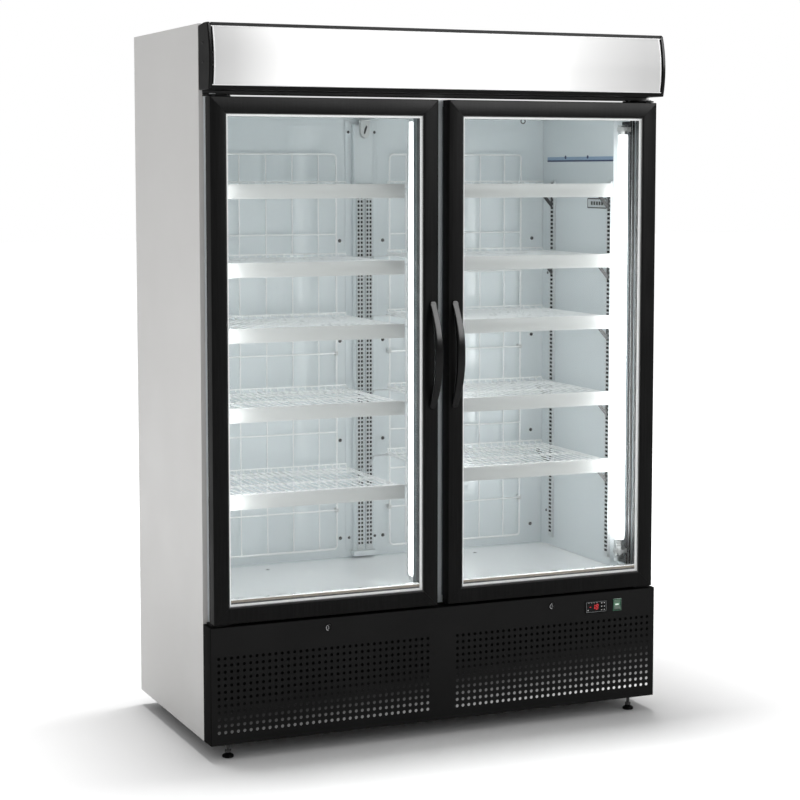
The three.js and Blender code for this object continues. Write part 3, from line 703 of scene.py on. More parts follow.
def build_controls():
    """Digital controller with its bezel, window, keys and digits, and the frame of the rocker."""
    lo, hi = extent("controller")
    face = lo.y
    case = Sketch("controller_case", BLACK_PLASTIC, "black_plastic", "controller", bevel=0.5)
    case.plate(
        rectangle((lo.x, hi.x), (lo.z, hi.z), 3),
        [rectangle((lo.x + 4.5, hi.x - 4.5), (lo.z + 4, hi.z - 4))], "y", face, KICK_FACE - 0.3,
    )
    case.box((lo.x + 4, face + 1.6, lo.z + 4), (hi.x - 4, KICK_FACE + 58, hi.z - 4))
    Sketch("controller_window", GLOSS_BLACK, "black_plastic").prism(
        rectangle((lo.x + 6, hi.x - 24), (lo.z + 7, hi.z - 8), 1), "y", face + 0.9, face + 1.7
    )
    digits = Sketch("controller_digits", RED_GLOW)
    for k, sign in enumerate("-18"):
        for bar in seven_segments(lo.x + 13 + 11 * k, lo.z + 11.5, 6.5, 14, DIGITS[sign]):
            digits.prism(bar, "y", face + 0.55, face + 0.95)
    Sketch("controller_silver_line", SLOTTED).mitred(
        (lo.x + 3.6, hi.x - 3.6), (lo.z + 3.6, hi.z - 3.6),
        rectangle((0, 0.6), (face - 0.1, face + 0.4)),
    )
    keys = Sketch("controller_keys", BLACK_PLASTIC, "black_plastic", bevel=0.3)
    icons = Sketch("controller_icons", WHITE_PRINT)
    for column, rise in enumerate((-1.8, 1.8)):
        for row in range(3):
            x, z = hi.x - 18.5 + column * 9, lo.z + 8.5 + row * 10
            keys.prism(around(x, z, 6.8, 6, 1.2), "y", face + 0.5, face + 1.7)
            arrow = [(x - 2, z - rise / 2), (x + 2, z - rise / 2), (x, z + rise)]
            icons.prism(arrow, "y", face + 0.25, face + 0.55)
    for k in range(4):
        icons.prism(circle(lo.x + 12 + 9 * k, hi.z - 6.6, 0.9, 10), "y", face + 0.6, face + 0.95)
    icons.prism(circle(lo.x + 9.5, lo.z + 9.4, 1.4), "y", face + 0.6, face + 0.95)

    x, _, z = centre("rocker_switch")
    section = [(0, -0.3), (0.4, -1.8), (1.2, -2.2), (3.2, -2.2), (3.7, -1.6), (3.7, 18), (2.6, 18),
               (2.6, -0.3)]
    Sketch("switch_surround", SURROUND_GREEN, "black_plastic").mitred(
        (x - 14, x + 14), (z - 18.5, z + 18.5), [(inset, KICK_FACE + y) for inset, y in section]
    )


def build_rocker():
    """Green rocker with two pressed faces and a small lens between them."""
    half, body = 14, "switch_rocker"
    section = [(7, half), (7, -half), (-7.2, -half), (-6.2, -half * 0.6), (-3.6, -2), (-3.6, 2),
               (-6.2, half * 0.6), (-7.2, half)]
    cap = Sketch("rocker_cap", GREEN_GLOW, "green_rocker", "rocker_switch", body, 0.6)
    cap.prism(section, "x", -9.8, 9.8)
    lens = Sketch("rocker_lens", LENS_GLOW, "green_rocker", None, body, 0.6)
    lens.prism(rectangle((-6, 6), (-2.2, 2.2), 1.6), "y", -4.6, -3.4)
    pivot = (centre("rocker_switch").x, KICK_FACE + 4, ROCKER_Z)
    turn = Matrix.Translation(pivot) @ Matrix.Rotation(radians(-7), 4, "X")
    for part in (cap, lens):
        bmesh.ops.transform(part.bm, matrix=turn, verts=part.bm.verts)


def build_feet():
    """Levelling feet: moulded pad, two hexagons, threaded stem, and the plate on the tray."""
    pad = [(0, 0), (14.5, 0), (16, 1.2), (16, 6), (14.6, 7.6), (10, 9.6), (7, 13), (0, 13)]
    start, half_pitch = 13, 0.8
    for node in FEET:
        x, y, _ = centre(node)
        body = "foot_" + node.removesuffix("_foot")
        base = Sketch(f"{node}_pad", BLACK_PLASTIC, "black_plastic", node, body)
        base.turned(pad, (x, y, 0), "z", 28)
        count = int((extent(node)[1].z - start) / half_pitch)
        thread = [(5.0 if i % 2 else 4.3, start + i * half_pitch) for i in range(count)]
        stem = Sketch(f"{node}_stem", DARK_STEEL_AND_SHADE, body=body, bevel=0.3)
        stem.turned([(0, 12), *thread, (0, thread[-1][1])], (x, y, 0), "z", 16)
        stem.prism(circle(x, y, 9.5, 6), "z", 14, 20)
        stem.prism(circle(x, y, 9.5, 6, 0.4), "z", 37, 43)
    plates = Sketch("foot_mounting_plates", ZINC, "zinc_plated_steel", bevel=0.3)
    for x, y, _ in map(centre, FEET):
        plates.plate(around(x, y, 48, 40, 4), [circle(x, y, 7.5, 16)], "z", BASE_Z + 2.3, BASE_Z + 5)


# ---------------------------------------------------------------- canopy

canopy_lo, canopy_hi = extent("canopy_left_cap")
CANOPY_FOOT, CANOPY_TOP = canopy_lo.z, canopy_hi.z
BOW = {"foot": 84.0, "fall": 8.0, "swell": 56.0}


def canopy_reach(z):
    """How far the bowed canopy front stands ahead of the body at a height."""
    t = (z - CANOPY_FOOT) / (CANOPY_TOP - CANOPY_FOOT)
    return BOW["foot"] - BOW["fall"] * t + BOW["swell"] * t * (1 - t)


def bowed(z0, z1, inset, steps):
    """Points (y, z) up the bowed front."""
    heights = [z0 + (z1 - z0) * i / steps for i in range(steps + 1)]
    return [(FRONT - canopy_reach(z) + inset, z) for z in heights]


def bow_band(z0, z1, outer, inner, steps):
    """A strip of the bowed front between two insets."""
    return [*bowed(z0, z1, outer, steps), *reversed(bowed(z0, z1, inner, steps))]


def build_canopy():
    """Lit sign box: bowed opal sheet in slim trims, with a moulded cap at each end."""
    inner = HALF - 10.6
    foot, top = CANOPY_FOOT, CANOPY_TOP
    opal = Sketch("canopy_opal_sheet", CANOPY_GLOW, "canopy_diffuser", "canopy_diffuser", smooth=50)
    opal.prism(bow_band(foot + 9, top - 9, 1.4, 4.0, 24), "x", -inner + 4, inner - 4)
    trims = Sketch("canopy_trims", BLACK_PLASTIC, "black_plastic", bevel=0.8)
    for z0, z1 in ((foot + 0.5, foot + 10.5), (top - 9.5, top - 0.6)):
        trims.prism(bow_band(z0, z1, 0.2, 5.5, 4), "x", -inner, inner)
    lining = Sketch("canopy_white_lining", WHITE_PRINT)
    for z0, z1 in ((foot + 10.5, foot + 13), (top - 12, top - 9.5)):
        lining.prism(bow_band(z0, z1, 0.9, 1.5, 3), "x", -inner, inner)

    for name, side in SIDES.items():
        curve = bow_band(foot + 10.5, top - 9.5, 0.9, 1.5, 24)
        lining.prism(curve, "x", side * (inner - 7), side * (inner - 4))
        outline = [(FRONT - 0.3, foot), *bowed(foot, top - 4, 0, 16)]
        outline += [(FRONT - canopy_reach(top) + 5, top), (FRONT - 46, top), (FRONT - 0.3, top - 6)]
        cap = Sketch(
            f"canopy_{name}_cap_moulding", BLACK_PLASTIC, "black_plastic", f"canopy_{name}_cap",
            bevel=2.2, steps=3, smooth=30,
        )
        cap.prism(outline, "x", side * (HALF - 10), side * (HALF - 0.4))
        rim = Sketch(f"canopy_{name}_cap_edge", GLOSS_BLACK, "black_plastic", bevel=1.0)
        edge = bow_band(foot + 1, top - 5, -0.4, 4.5, 16)
        rim.prism(edge, "x", side * (HALF - 9.4), side * (HALF - 2.5))
        screws = Sketch(f"canopy_{name}_cap_screws", GLOSS_BLACK)
        heights = (foot + 74, foot + 124)
        screws.screws([side * (HALF - 0.4)], [FRONT - 38], heights, "x", side, 3.6, 1.0)

    cover = Sketch("canopy_top_cover", BLACK_STEEL, "black_painted_steel", bevel=0.4)
    cover.box((-inner, FRONT - 72, top - 4.6), (inner, FRONT - 2, top - 3.4))
    # This strip glows with painted light from the canopy lamp; it is no lamp itself.
    light = Sketch("header_painted_light_strip", HEADER_PAINTED_LIGHT)
    light.box((-inner + 20, FRONT - 1.6, 1798.5), (inner - 20, FRONT - 0.4, 1804.2))
    dark = Sketch("header_dark_strip", DARK_STEEL_AND_SHADE, "black_painted_steel", bevel=0.3)
    dark.box((-inner, FRONT - 3.4, 1805.2), (inner, FRONT - 2.5, 1813.5))
    cap = [(0, 0), (10, 0), (10, 14), (9.4, 15)]
    tube = Sketch("canopy_lamp_tube", CANOPY_TUBE_GLOW, "lamp", "canopy_lamp")
    profile = [*cap, *((r, CANOPY_TUBE - h) for r, h in reversed(cap))]
    tube.turned(profile, (-CANOPY_TUBE / 2, FRONT - 38, 1900), "x", 20)
    holders = Sketch("canopy_lamp_holders", WHITE_PRINT, bevel=1.5)
    holders.pair((650, 662), (FRONT - 50, FRONT - 4), (1880, 1914))


# ---------------------------------------------------------------- interior

FLOOR_IN = 412.0
INNER_HALF = 625.0
CEILING = extent("ceiling_panel")[0].z
DRAIN_X, DRAIN_Y = 343, FRONT + 445
post_lo, post_hi = extent("rear_centre_post")
REAR_INNER = post_hi.y + 0.3


def build_pilasters():
    """Slotted channels on the side walls and on the post between the doors."""
    sheet, flange = 0.8, 1.4
    for name, side in SIDES.items():
        for place in ("front", "rear"):
            node = f"{name}_{place}_pilaster"
            lo, hi = extent(node)
            inner, outer = (lo.x, hi.x) if side > 0 else (hi.x, lo.x)
            back, middle = inner + side * sheet, (lo.y + hi.y) / 2
            track = Sketch(f"{node}_channel", BRIGHT_ZINC, "zinc_plated_steel", node)
            track.slotted("x", (lo.y, hi.y), [middle], (lo.z, hi.z), (inner, back), (17, 7.5))
            for y in (lo.y, hi.y - flange):
                track.box((back, y, lo.z), (outer, y + flange, hi.z))
            # A black sheet behind the slots stands in for the shade inside the channel: painted shade.
            Sketch(f"{node}_back", BLACK_STEEL).box(
                (inner + side, lo.y + 1.5, lo.z), (inner + side * 1.8, hi.y - 1.5, hi.z)
            )

    node = "centre_front_pilaster"
    lo, hi = extent(node)
    back = hi.y - flange
    track = Sketch(f"{node}_channel", BRIGHT_ZINC, "zinc_plated_steel", node)
    track.slotted("y", (lo.x, hi.x), (-18, 18), (lo.z, hi.z), (back, hi.y), (3.6, 6.4))
    for x in (lo.x, hi.x - flange):
        track.box((x, lo.y, lo.z), (x + flange, back, hi.z))
    # A dark sheet behind the slots stands in for the shade inside the channel: painted shade.
    Sketch(f"{node}_back", DARK_STEEL_AND_SHADE).box(
        (lo.x + 1.5, lo.y + 0.3, lo.z), (hi.x - 1.5, lo.y + 1.2, hi.z)
    )


def build_rear_post():
    """White post on the rear wall with two double-slotted tracks, a foot and a top bracket."""
    face, wall = post_lo.y + 8, REAR_INNER - 0.3
    low, high, flange = post_lo.z + 8, 1562, 1.4
    section = [(-33, wall), (-33, face + 3), (-30, face), (30, face), (33, face + 3), (33, wall)]
    post = Sketch("rear_post_body", LINER, "white_liner", "rear_centre_post")
    post.prism(section, "z", post_lo.z, post_hi.z)
    tracks = Sketch("rear_post_tracks", BRIGHT_ZINC, "zinc_plated_steel")
    # Black sheets behind the slots stand in for the shade inside the tracks: painted shade.
    backs = Sketch("rear_post_track_backs", BLACK_STEEL)
    for x0, x1 in ((-25, -4), (4, 25)):
        skin, columns = (face - 8, face - 6.6), (x0 + 5.5, x1 - 5.5)
        tracks.slotted("y", (x0, x1), columns, (low, high), skin, (6.6, 7.4))
        for x in (x0, x1 - flange):
            tracks.box((x, face - 6.6, low), (x + flange, face, high))
        backs.box((x0 + 1.5, face - 6.4, low + 1), (x1 - 1.5, face - 5.2, high - 1))
    head, step = 1752, 434
    foot = Sketch("rear_post_foot", LINER, "white_liner", bevel=2)
    foot.box((-37, face - 9.5, 418), (37, wall, step)).box((-54, wall - 2.2, step), (54, wall, head))
    bracket = Sketch("rear_post_bracket", RAIL, "white_liner", bevel=2.5, steps=3)
    hook = [(-15, head), (-14, 1714), (-9, 1703), (0, 1699), (9, 1703), (14, 1714), (15, head)]
    bracket.prism(hook, "y", face - 16, face - 0.4)
    bracket.box((-17, face - 20, head), (17, face - 0.4, head + 3))
    catch = Sketch("rear_post_catch", DARK_STEEL_AND_SHADE, bevel=0.4)
    hook = [(-6, 1714), (-2, 1711), (6, 1734), (2, 1738), (-3, 1728)]
    catch.prism(hook, "y", face - 17.4, face - 15.8)


def build_liner_screws():
    """Screws in the rear wall and its post, the drains of the floor and the side walls."""
    screws = Sketch("liner_screws", DARK_STEEL_AND_SHADE)
    screws.screws((-43, 43), [REAR_INNER - 2.2], (473, 1718), "y", -1, 4.5, 2.2)
    screws.screws((-585, -71, 71, 585), [REAR_INNER], (473, 777, 1083, 1389), "y", -1, 5.5, 3.0)
    screws.screws((-DRAIN_X, DRAIN_X), [DRAIN_Y], [FLOOR_IN], "z", 1, 6.0)
    for side in SIDES.values():
        wall = [side * (INNER_HALF - 0.1)]
        screws.screws(wall, [FRONT + 505], (520, 900, 1280), "x", -side, 4.5, 2.2)


def build_guards():
    """Rear wire guards: a border wire with crossing wires, held by small clips."""
    thick, thin = 3.2, 2.4
    for name in SIDES:
        node = f"{name}_rear_guard"
        lo, hi = extent(node)
        middle, y, _ = centre(node)
        x0, x1, z0, z1 = lo.x + 3, hi.x - 3, lo.z + 3, hi.z - 3
        guard = Sketch(f"{node}_wires", WIRE, "white_coated_wire", node)
        border = [(u, y, v) for u, v in rectangle((x0, x1), (z0, z1), 12, 3)]
        guard.tube(border, thick, 8, closed=True)
        for z in (z0 + (z1 - z0) * k / 10 for k in range(1, 10)):
            guard.rod((x0, y - thin, z), (x1, y - thin, z), thin, 8)
        for x in (middle + 84 * k for k in range(-2, 3)):
            guard.rod((x, y + 2.2, z0), (x, y + 2.2, z1), thin, 8)
        clips = Sketch(f"{node}_clips", RAIL, "white_coated_wire", bevel=1.2)
        for x in (x0, x1):
            for z in (z0 + 120, (z0 + z1) / 2, z1 - 120):
                clips.box((x - 5, y - 4.6, z - 6), (x + 5, REAR_INNER - 0.2, z + 6))


def build_shelf(node, side):
    """Wire shelf: fore-and-aft wires on cross rods, a tall price rail, and its brackets."""
    lo, hi = extent(node)
    x0, x1, y0, y1, top = lo.x, hi.x, lo.y, hi.y, hi.z
    fine, thick, count = 2.0, 3.2, 24
    level = top - 5
    under = level - fine - thick
    wires = Sketch(f"{node}_wires", WIRE, "white_coated_wire", node)
    path = [(y0 + 6, -9), (y0 + 8, -2), (y0 + 13, 0), (y1 - 12, 0), (y1 - 5, 2), (y1 - 3, 9)]
    for x in (x0 + 8 + (x1 - x0 - 16) * k / count for k in range(count + 1)):
        wires.tube([(x, y, level + rise) for y, rise in path], fine, 6)
    for y in (y0 + 9, y0 + 70, (y0 + y1) / 2, y1 - 70, y1 - 8):
        wires.rod((x0 + 3, y, under), (x1 - 3, y, under), thick, 8)
    for x in (x0 + 3, x1 - 3):
        wires.rod((x, y0 + 6, under), (x, y1 - 4, under), thick, 8)
    wires.rod((x0 + 6, y1 - 3, level + 9), (x1 - 6, y1 - 3, level + 9), 2.2, 8)

    section = [(0, -2), (-0.6, -38), (0.6, -40), (4.5, -40), (4.5, -37.5), (2.4, -37.5), (2.6, -3),
               (6, -3), (6, 0), (1.2, 0)]
    rail = Sketch(f"{node}_price_rail", RAIL, "white_coated_wire", bevel=0.5)
    rail.prism([(y0 + y, top + z) for y, z in section], "x", x0, x1)
    lips = Sketch(f"{node}_rail_lips", RAIL, "white_coated_wire", bevel=0.3)
    for z in (top - 4.6, top - 36.6):
        lips.box((x0 + 1, y0 - 1.1, z), (x1 - 1, y0 - 0.1, z + 1.3))

    wall = side * (INNER_HALF - 8.2)
    strut = [(wall - side * x, level + z) for x, z in ((0, -74), (0, -60), (42, -12), (56, -12))]
    clips = Sketch(f"{node}_clips", DARK_STEEL_AND_SHADE, "zinc_plated_steel")
    for y in (FRONT + 104, FRONT + 466):
        clips.prism(strut, "y", y - 2, y + 2)
        clips.box((wall, y - 5, level - 12), (wall - side * 60, y + 5, level - 9.6))
        clips.box((wall, y - 4, level - 76), (wall - side * 2, y + 4, level - 10))
    clips = Sketch(f"{node}_centre_clips", BRIGHT_ZINC, "zinc_plated_steel")
    for y, deep in ((FRONT + 124.6, 24), (FRONT + 511, -24)):
        far = y + deep * 1.3
        strut = [(y, level - 42), (y, level - 30), (y + deep, level - 8), (far, level - 8)]
        clips.prism(strut, "x", side * 18 - 1.5, side * 18 + 1.5)
        clips.box((side * 16, y + deep * 0.4, level - 9.6), (side * 64, far, level - 7.8))


def build_lamps():
    """Upright lamp tubes in the corners, each with its sockets, holders and dark strips."""
    low, high = TUBE_Z
    inner, outer = 643.2, 644.7
    for name, side in SIDES.items():
        node = f"{name}_lamp"
        lo, hi = extent(node)
        x, y, _ = centre(node)
        tube = Sketch(f"{node}_tube", TUBE_GLOW, "lamp", node)
        tube.turned(barrel(low, high, 14, 0.5, 3), (x, y, 0), "z")
        sockets = Sketch(f"{node}_sockets", SILVER, "lamp")
        for z0, z1 in ((lo.z, low), (high, hi.z)):
            sockets.turned(barrel(z0, z1, 15, 0.8, 1.5), (x, y, 0), "z")
        holder = Sketch(f"{node}_holders", RAIL, "white_liner", bevel=1.0)
        for z in (470, 1722):
            holder.box((x + side * 12, y - 10, z - 7), (side * 643, y + 10, z + 7))
            holder.plate(circle(x, y, 18, 20), [circle(x, y, 15.2, 20)], "z", z - 6, z + 6)
        near, far = side * inner, side * outer
        # A dark blue strip on the white liner beside the lamp: painted shade.
        strip = Sketch(f"{node}_back_strip", SHADE_BLUE, "white_liner")
        strip.box((near, FRONT + 30, 430), (far, FRONT + 74, 1745))
        breakers = Sketch(f"{node}_breaker_strips", BLACK_PLASTIC, bevel=0.4)
        for y0, y1 in ((1, 13), (17, 27)):
            breakers.box((near, FRONT + y0, 414), (far, FRONT + y1, CEILING - 2))


def build_centre_lamp():
    """Lit strip behind the mullion, and the mullion's own strips."""
    lo, hi = extent("centre_lamp")
    end = 16
    section = [(lo.x, lo.y + 6), (lo.x + 2, lo.y + 2), (hi.x - 2, lo.y + 2), (hi.x, lo.y + 6),
               (hi.x, hi.y - 10), (hi.x - 6, hi.y - 2), (lo.x + 6, hi.y - 2), (lo.x, hi.y - 10)]
    cover = Sketch("centre_lamp_cover", CENTRE_GLOW, "lamp", "centre_lamp", bevel=1.2)
    cover.prism(section, "z", lo.z + end, hi.z - end)
    caps = Sketch("centre_lamp_ends", SILVER, "lamp", bevel=1.2)
    caps.prism(section, "z", lo.z, lo.z + end).prism(section, "z", hi.z - end, hi.z)
    carrier = Sketch("centre_lamp_carrier", ALUMINIUM)
    carrier.box((-31, lo.y, lo.z + 2), (31, lo.y + 2, hi.z - 2))
    lo, hi = extent("centre_mullion")
    dark = Sketch("mullion_breaker_strips", DARK_STEEL_AND_SHADE, bevel=0.4)
    dark.pair((hi.x + 0.1, hi.x + 1.2), (FRONT + 3, FRONT + 27), (lo.z, hi.z))
    pale = Sketch("mullion_blue_strips", MUTED_BLUE, "white_liner", bevel=0.4)
    pale.pair((33.1, 34.2), (FRONT + 46, FRONT + 69), (lo.z, hi.z))


def build_wall_prints():
    """Load line and blank plate on the right wall, and the sensor ring near the ceiling."""
    wall, line = INNER_HALF, 1634
    y0, y1 = FRONT + 92, FRONT + 511
    Sketch("load_line_band", PALE_PRINT).box((wall - 0.5, y0, line), (wall - 0.2, y1, line + 10))
    Sketch("load_line_edge", NAVY_PRINT).box((wall - 0.6, y0, line - 5), (wall - 0.2, y1, line))
    dots = Sketch("load_line_dots", NAVY_PRINT)
    for y in (y1 - 262, y1 - 120):
        dots.prism(circle(y, line + 9, 5.5, 16), "x", wall - 0.9, wall - 0.4)
    y, z = FRONT + 188, 1503.5
    edge = Sketch("data_plate_edge", DARK_STEEL_AND_SHADE)
    edge.prism(around(y, z, 120, 31, 4), "x", wall - 0.8, wall - 0.2)
    plate = Sketch("data_plate_blank", BRIGHT_ZINC)
    plate.prism(around(y, z, 112, 24, 3), "x", wall - 1.2, wall - 0.7)
    blocks = Sketch("data_plate_blocks", DARK_STEEL_AND_SHADE)
    for y in (FRONT + 150 + 16 * k for k in range(5)):
        blocks.box((wall - 1.5, y, 1498), (wall - 1.1, y + 11, 1509))
    x, y, z, radius = 430, FRONT + 300, 1750, 7
    sensor = Sketch("ceiling_sensor_ring", DARK_STEEL_AND_SHADE)
    sensor.hoop(x, z, radius, "y", y, 1.6, 24, 8).rod((x, y, z + radius), (x, y, CEILING), 1.8, 8)


def build_floor_sheet():
    """Polished sheet over the insulated floor, glowing faintly with painted light."""
    Sketch("floor_sheet", FLOOR_SHEET_PAINTED_GLOW, "white_liner").plate(
        rectangle((-INNER_HALF + 1, INNER_HALF - 1), (FRONT + 82, post_lo.y - 2), 2),
        [circle(side * DRAIN_X, DRAIN_Y, 8, 16) for side in SIDES.values()],
        "z", FLOOR_IN + 0.2, FLOOR_IN + 1.0,
    )


def build_ceiling():
    """Wire guard under the evaporator fan."""
    fan, z = centre("evaporator_fan"), CEILING - 2
    guard = Sketch("ceiling_fan_guard", WIRE, "white_coated_wire")
    for r in (20, 40, 60, 80, 98):
        guard.hoop(fan.x, fan.y, r, "z", z, 1.4)
    guard.spokes(fan.x, fan.y, (12, 100), "z", z + 1.5, 1.4, 8)


# ---------------------------------------------------------------- doors

HINGE_X, HINGE_Y = 664.0, FRONT - 40


def build_frame(name, lo, hi, seat, stile):
    """Mitred profiles, the bead behind the glass and the seal in front of it."""
    x, z, face, rear = (lo.x, hi.x), (lo.z, hi.z), lo.y, hi.y
    body, slot = f"{name}_door", "black_door_frame"
    profile = [
        (0, rear), (0, face + 3.2), (0.5, face + 1.5), (1.5, face + 0.5), (3.2, face),
        (stile - 5.5, face), (stile - 2.5, face + 0.6), (stile - 0.6, face + 2.4),
        (stile, face + 4.6), (stile, face + 6), (seat, face + 6), (seat, rear),
    ]
    profiles = Sketch(f"{name}_frame_profiles", FRAME, slot, f"{name}_door_frame", body, smooth=25)
    profiles.mitred(x, z, profile, joint=0.22)
    bead = [(seat - 3, rear - 0.2), (seat - 3, rear - 9), (stile - 1, rear - 9),
            (stile + 1, rear - 7), (stile + 1, rear - 3), (stile - 2, rear - 0.2)]
    Sketch(f"{name}_glazing_bead", BLACK_PLASTIC, slot, body=body).mitred(x, z, bead)
    wiper = [(stile - 1, face + 3.4), (stile + 2.2, face + 4.2), (stile + 2.2, face + 6.1),
             (stile - 1, face + 6.1)]
    Sketch(f"{name}_glass_seal", RUBBER, slot, body=body).mitred(x, z, wiper)


def build_glazing(name):
    """Two panes with a spacer between them and three lines along the sill."""
    body, slot = f"{name}_door", "clear_glass"
    lo, hi = extent(f"{name}_door_glass")
    x, z, pane = (lo.x, hi.x), (lo.z, hi.z), 4.1
    front, rear = lo.y + pane, hi.y - pane
    panes = Sketch(f"{name}_glass_panes", GLASS, slot, f"{name}_door_glass", body)
    for y0, y1 in ((lo.y + 0.1, front), (rear, hi.y - 0.1)):
        panes.prism(rectangle(x, z), "y", y0, y1)
    outer, inner = 2.0, 15.5
    split = front + 1.6
    # The spacer's inner part is drawn dark as painted shade, and its front face glows faintly as painted
    # light.
    for label, material, y0, y1 in (
        ("spacer", DARK_STEEL_AND_SHADE, split, rear - 0.1), ("spacer_face", SPACER_FACE_PAINTED_GLOW, front + 0.1, split - 0.1)
    ):
        bar = [(outer, y0), (inner, y0), (inner, y1), (outer, y1)]
        Sketch(f"{name}_glass_{label}", material, slot, body=body).mitred(x, z, bar, joint=0.15)
    foot, end = z[0] + inner, inner + 0.4
    for label, z0, z1, material in (
        ("dark", 0.1, 4.6, DARK_STEEL_AND_SHADE), ("bronze", 4.6, 11.0, BRONZE), ("silver", 11.0, 13.5, SILVER)
    ):
        line = Sketch(f"{name}_glass_sill_{label}", material, slot, body=body, bevel=0.3)
        line.box((x[0] + end, front + 0.6, foot + z0), (x[1] - end, rear - 0.6, foot + z1))


def build_gasket(name):
    """Magnetic seal with two folds of bellows."""
    node = f"{name}_door_gasket"
    lo, hi = extent(node)
    right = [(15, 0), (15, 3), (11.5, 4.5), (11.5, 7), (14, 9.5), (11.5, 12), (14.5, 14), (16.5, 16)]
    left = [(18 - u, v) for u, v in reversed(right)]
    deep = hi.y - lo.y
    magnet = [(16.5, deep - 1), (15.5, deep), (2.5, deep), (1.5, deep - 1)]
    bellows = [(u, lo.y + v) for u, v in (*right, *magnet, *left)]
    seal = Sketch(f"{name}_gasket_bellows", GASKET, "grey_gasket", node, f"{name}_door", smooth=50)
    seal.mitred((lo.x, hi.x), (lo.z, hi.z), bellows)


def build_handle(name, face):
    """Bow handle: slim at its ends, broad and deep where the hand pulls."""
    node = f"{name}_door_handle"
    lo, hi = extent(node)
    x, _, middle = centre(node)
    half, depth = (hi.z - lo.z) / 2, face - lo.y
    tip, steps = 9.0, 64
    rows = []
    for i in range(steps + 1):
        s = sin(pi * (i / steps - 0.5))
        away = abs(s)
        outer = depth * (1 - away ** 2.2)
        inner = max(0.2, outer - 15 - 5 * (1 - away))
        to_end = min(1.0, (1 - away) * half / tip)
        rounding = sqrt(1 - (1 - to_end) ** 2)
        width = 0.4 + (8.9 + 2.1 * (1 - away ** 2)) * rounding
        outer = max(outer, 0.6 + 5.5 * rounding)
        ring = []
        for u, v in circle(0, 0, 1, 32):
            across = copysign(abs(u) ** 0.4, u) * width
            out = (outer + inner) / 2 + copysign(abs(v) ** 0.25, v) * (outer - inner) / 2
            ring.append((x + across, face - out, middle + s * half))
        rows.append(ring)
    body = f"{name}_door"
    handle = Sketch(f"{node}_bow", HANDLE_PLASTIC, "black_plastic", node, body, smooth=60)
    handle.close([handle.loop(ring) for ring in rows])


def build_bushes(name, lo, hi):
    """Bushes that turn on the hinge pins."""
    bushes = Sketch(f"{name}_door_bushes", BLACK_PLASTIC, "black_door_frame", body=f"{name}_door")
    for z, inward in ((lo.z, 1), (hi.z, -1)):
        ring = [(5.7, -0.6), (9.5, -0.6), (9.5, 2), (5.7, 2), (5.7, -0.6)]
        turned = [(r, d * inward) for r, d in ring]
        bushes.turned(turned, (SIDES[name] * HINGE_X, HINGE_Y, z), "z", 20)


def build_door(name):
    """One door: frame, double glazing, gasket, handle and bushes."""
    lo, hi = extent(f"{name}_door_frame")
    seat = extent(f"{name}_door_glass")[0].x - lo.x - 0.3
    build_frame(name, lo, hi, seat, seat + 8)
    build_glazing(name)
    build_gasket(name)
    build_handle(name, lo.y)
    build_bushes(name, lo, hi)


def build_hinges():
    """Tapered hinge plates with their pins and screws."""
    turns = [0.26 * k for k in range(1, 7)]
    nose = [(HINGE_X + 16 * cos(a), HINGE_Y - 16 * sin(a)) for a in turns]
    outline = [(600, FRONT - 0.4), (HALF - 10, FRONT - 0.4), (HALF - 10, HINGE_Y), *nose]
    outline.append((628, FRONT - 50))
    for name, side in SIDES.items():
        for place in ("top", "bottom"):
            node = f"{name}_{place}_hinge"
            lo, hi = extent(node)
            if place == "top":
                z0, z1 = hi.z - 4, hi.z
                profile = [(0, lo.z), (4.4, lo.z), (5, lo.z + 1), (5, z1), (9, z1), (9, z1 + 2),
                           (8, z1 + 3), (0, z1 + 3)]
            else:
                z0, z1 = lo.z, lo.z + 4
                profile = [(0, z0 - 0.5), (9, z0 - 0.5), (9, z1), (5, z1), (5, hi.z - 1),
                           (4.4, hi.z), (0, hi.z)]
            plate = Sketch(f"{node}_plate", BLACK_STEEL, "black_painted_steel", node, bevel=0.8)
            plate.prism([(side * x, y) for x, y in outline], "z", z0, z1)
            pin = Sketch(f"{node}_pin", BRIGHT_ZINC)
            pin.turned(profile, (side * HINGE_X, HINGE_Y, 0), "z")
            screws = Sketch(f"{node}_screws", BRIGHT_ZINC)
            screws.screws((side * 616, side * 650), [FRONT - 14], [z1], "z", 1, 4.2, 1.4)


# ---------------------------------------------------------------- machine compartment

ROOF = 334


def build_condenser():
    """Finned coil with its tubes and their return bends."""
    lo, hi = extent("condenser")
    coil = Sketch("condenser_fins", BLACK_STEEL, "black_painted_steel", "condenser")
    fins = 64
    for x in (lo.x + 4 + (hi.x - lo.x - 8) * k / (fins - 1) for k in range(fins)):
        coil.box((x - 0.3, lo.y + 2, lo.z + 4), (x + 0.3, hi.y - 2, hi.z - 4))
    for x in (lo.x, hi.x - 1.5):
        coil.box((x, lo.y, lo.z), (x + 1.5, hi.y, hi.z))
    tubes = Sketch("condenser_tubes", BLACK_STEEL)
    rows, radius, inset = 8, 4.2, 18
    pitch = (hi.z - lo.z - 2 * inset) / (rows - 1)
    for k in range(rows):
        z = lo.z + inset + pitch * k
        x, out = (hi.x + 4, 1) if k % 2 else (lo.x - 4, -1)
        for y in (lo.y + inset, hi.y - inset):
            tubes.rod((lo.x - 4, y, z), (hi.x + 4, y, z), radius)
            if k < rows - 1:
                bend = [(x + out * pitch * sin(a) * 0.4, y, z + pitch * (1 - cos(a)) / 2)
                        for a in (pi * j / 8 for j in range(9))]
                tubes.tube(bend, radius)


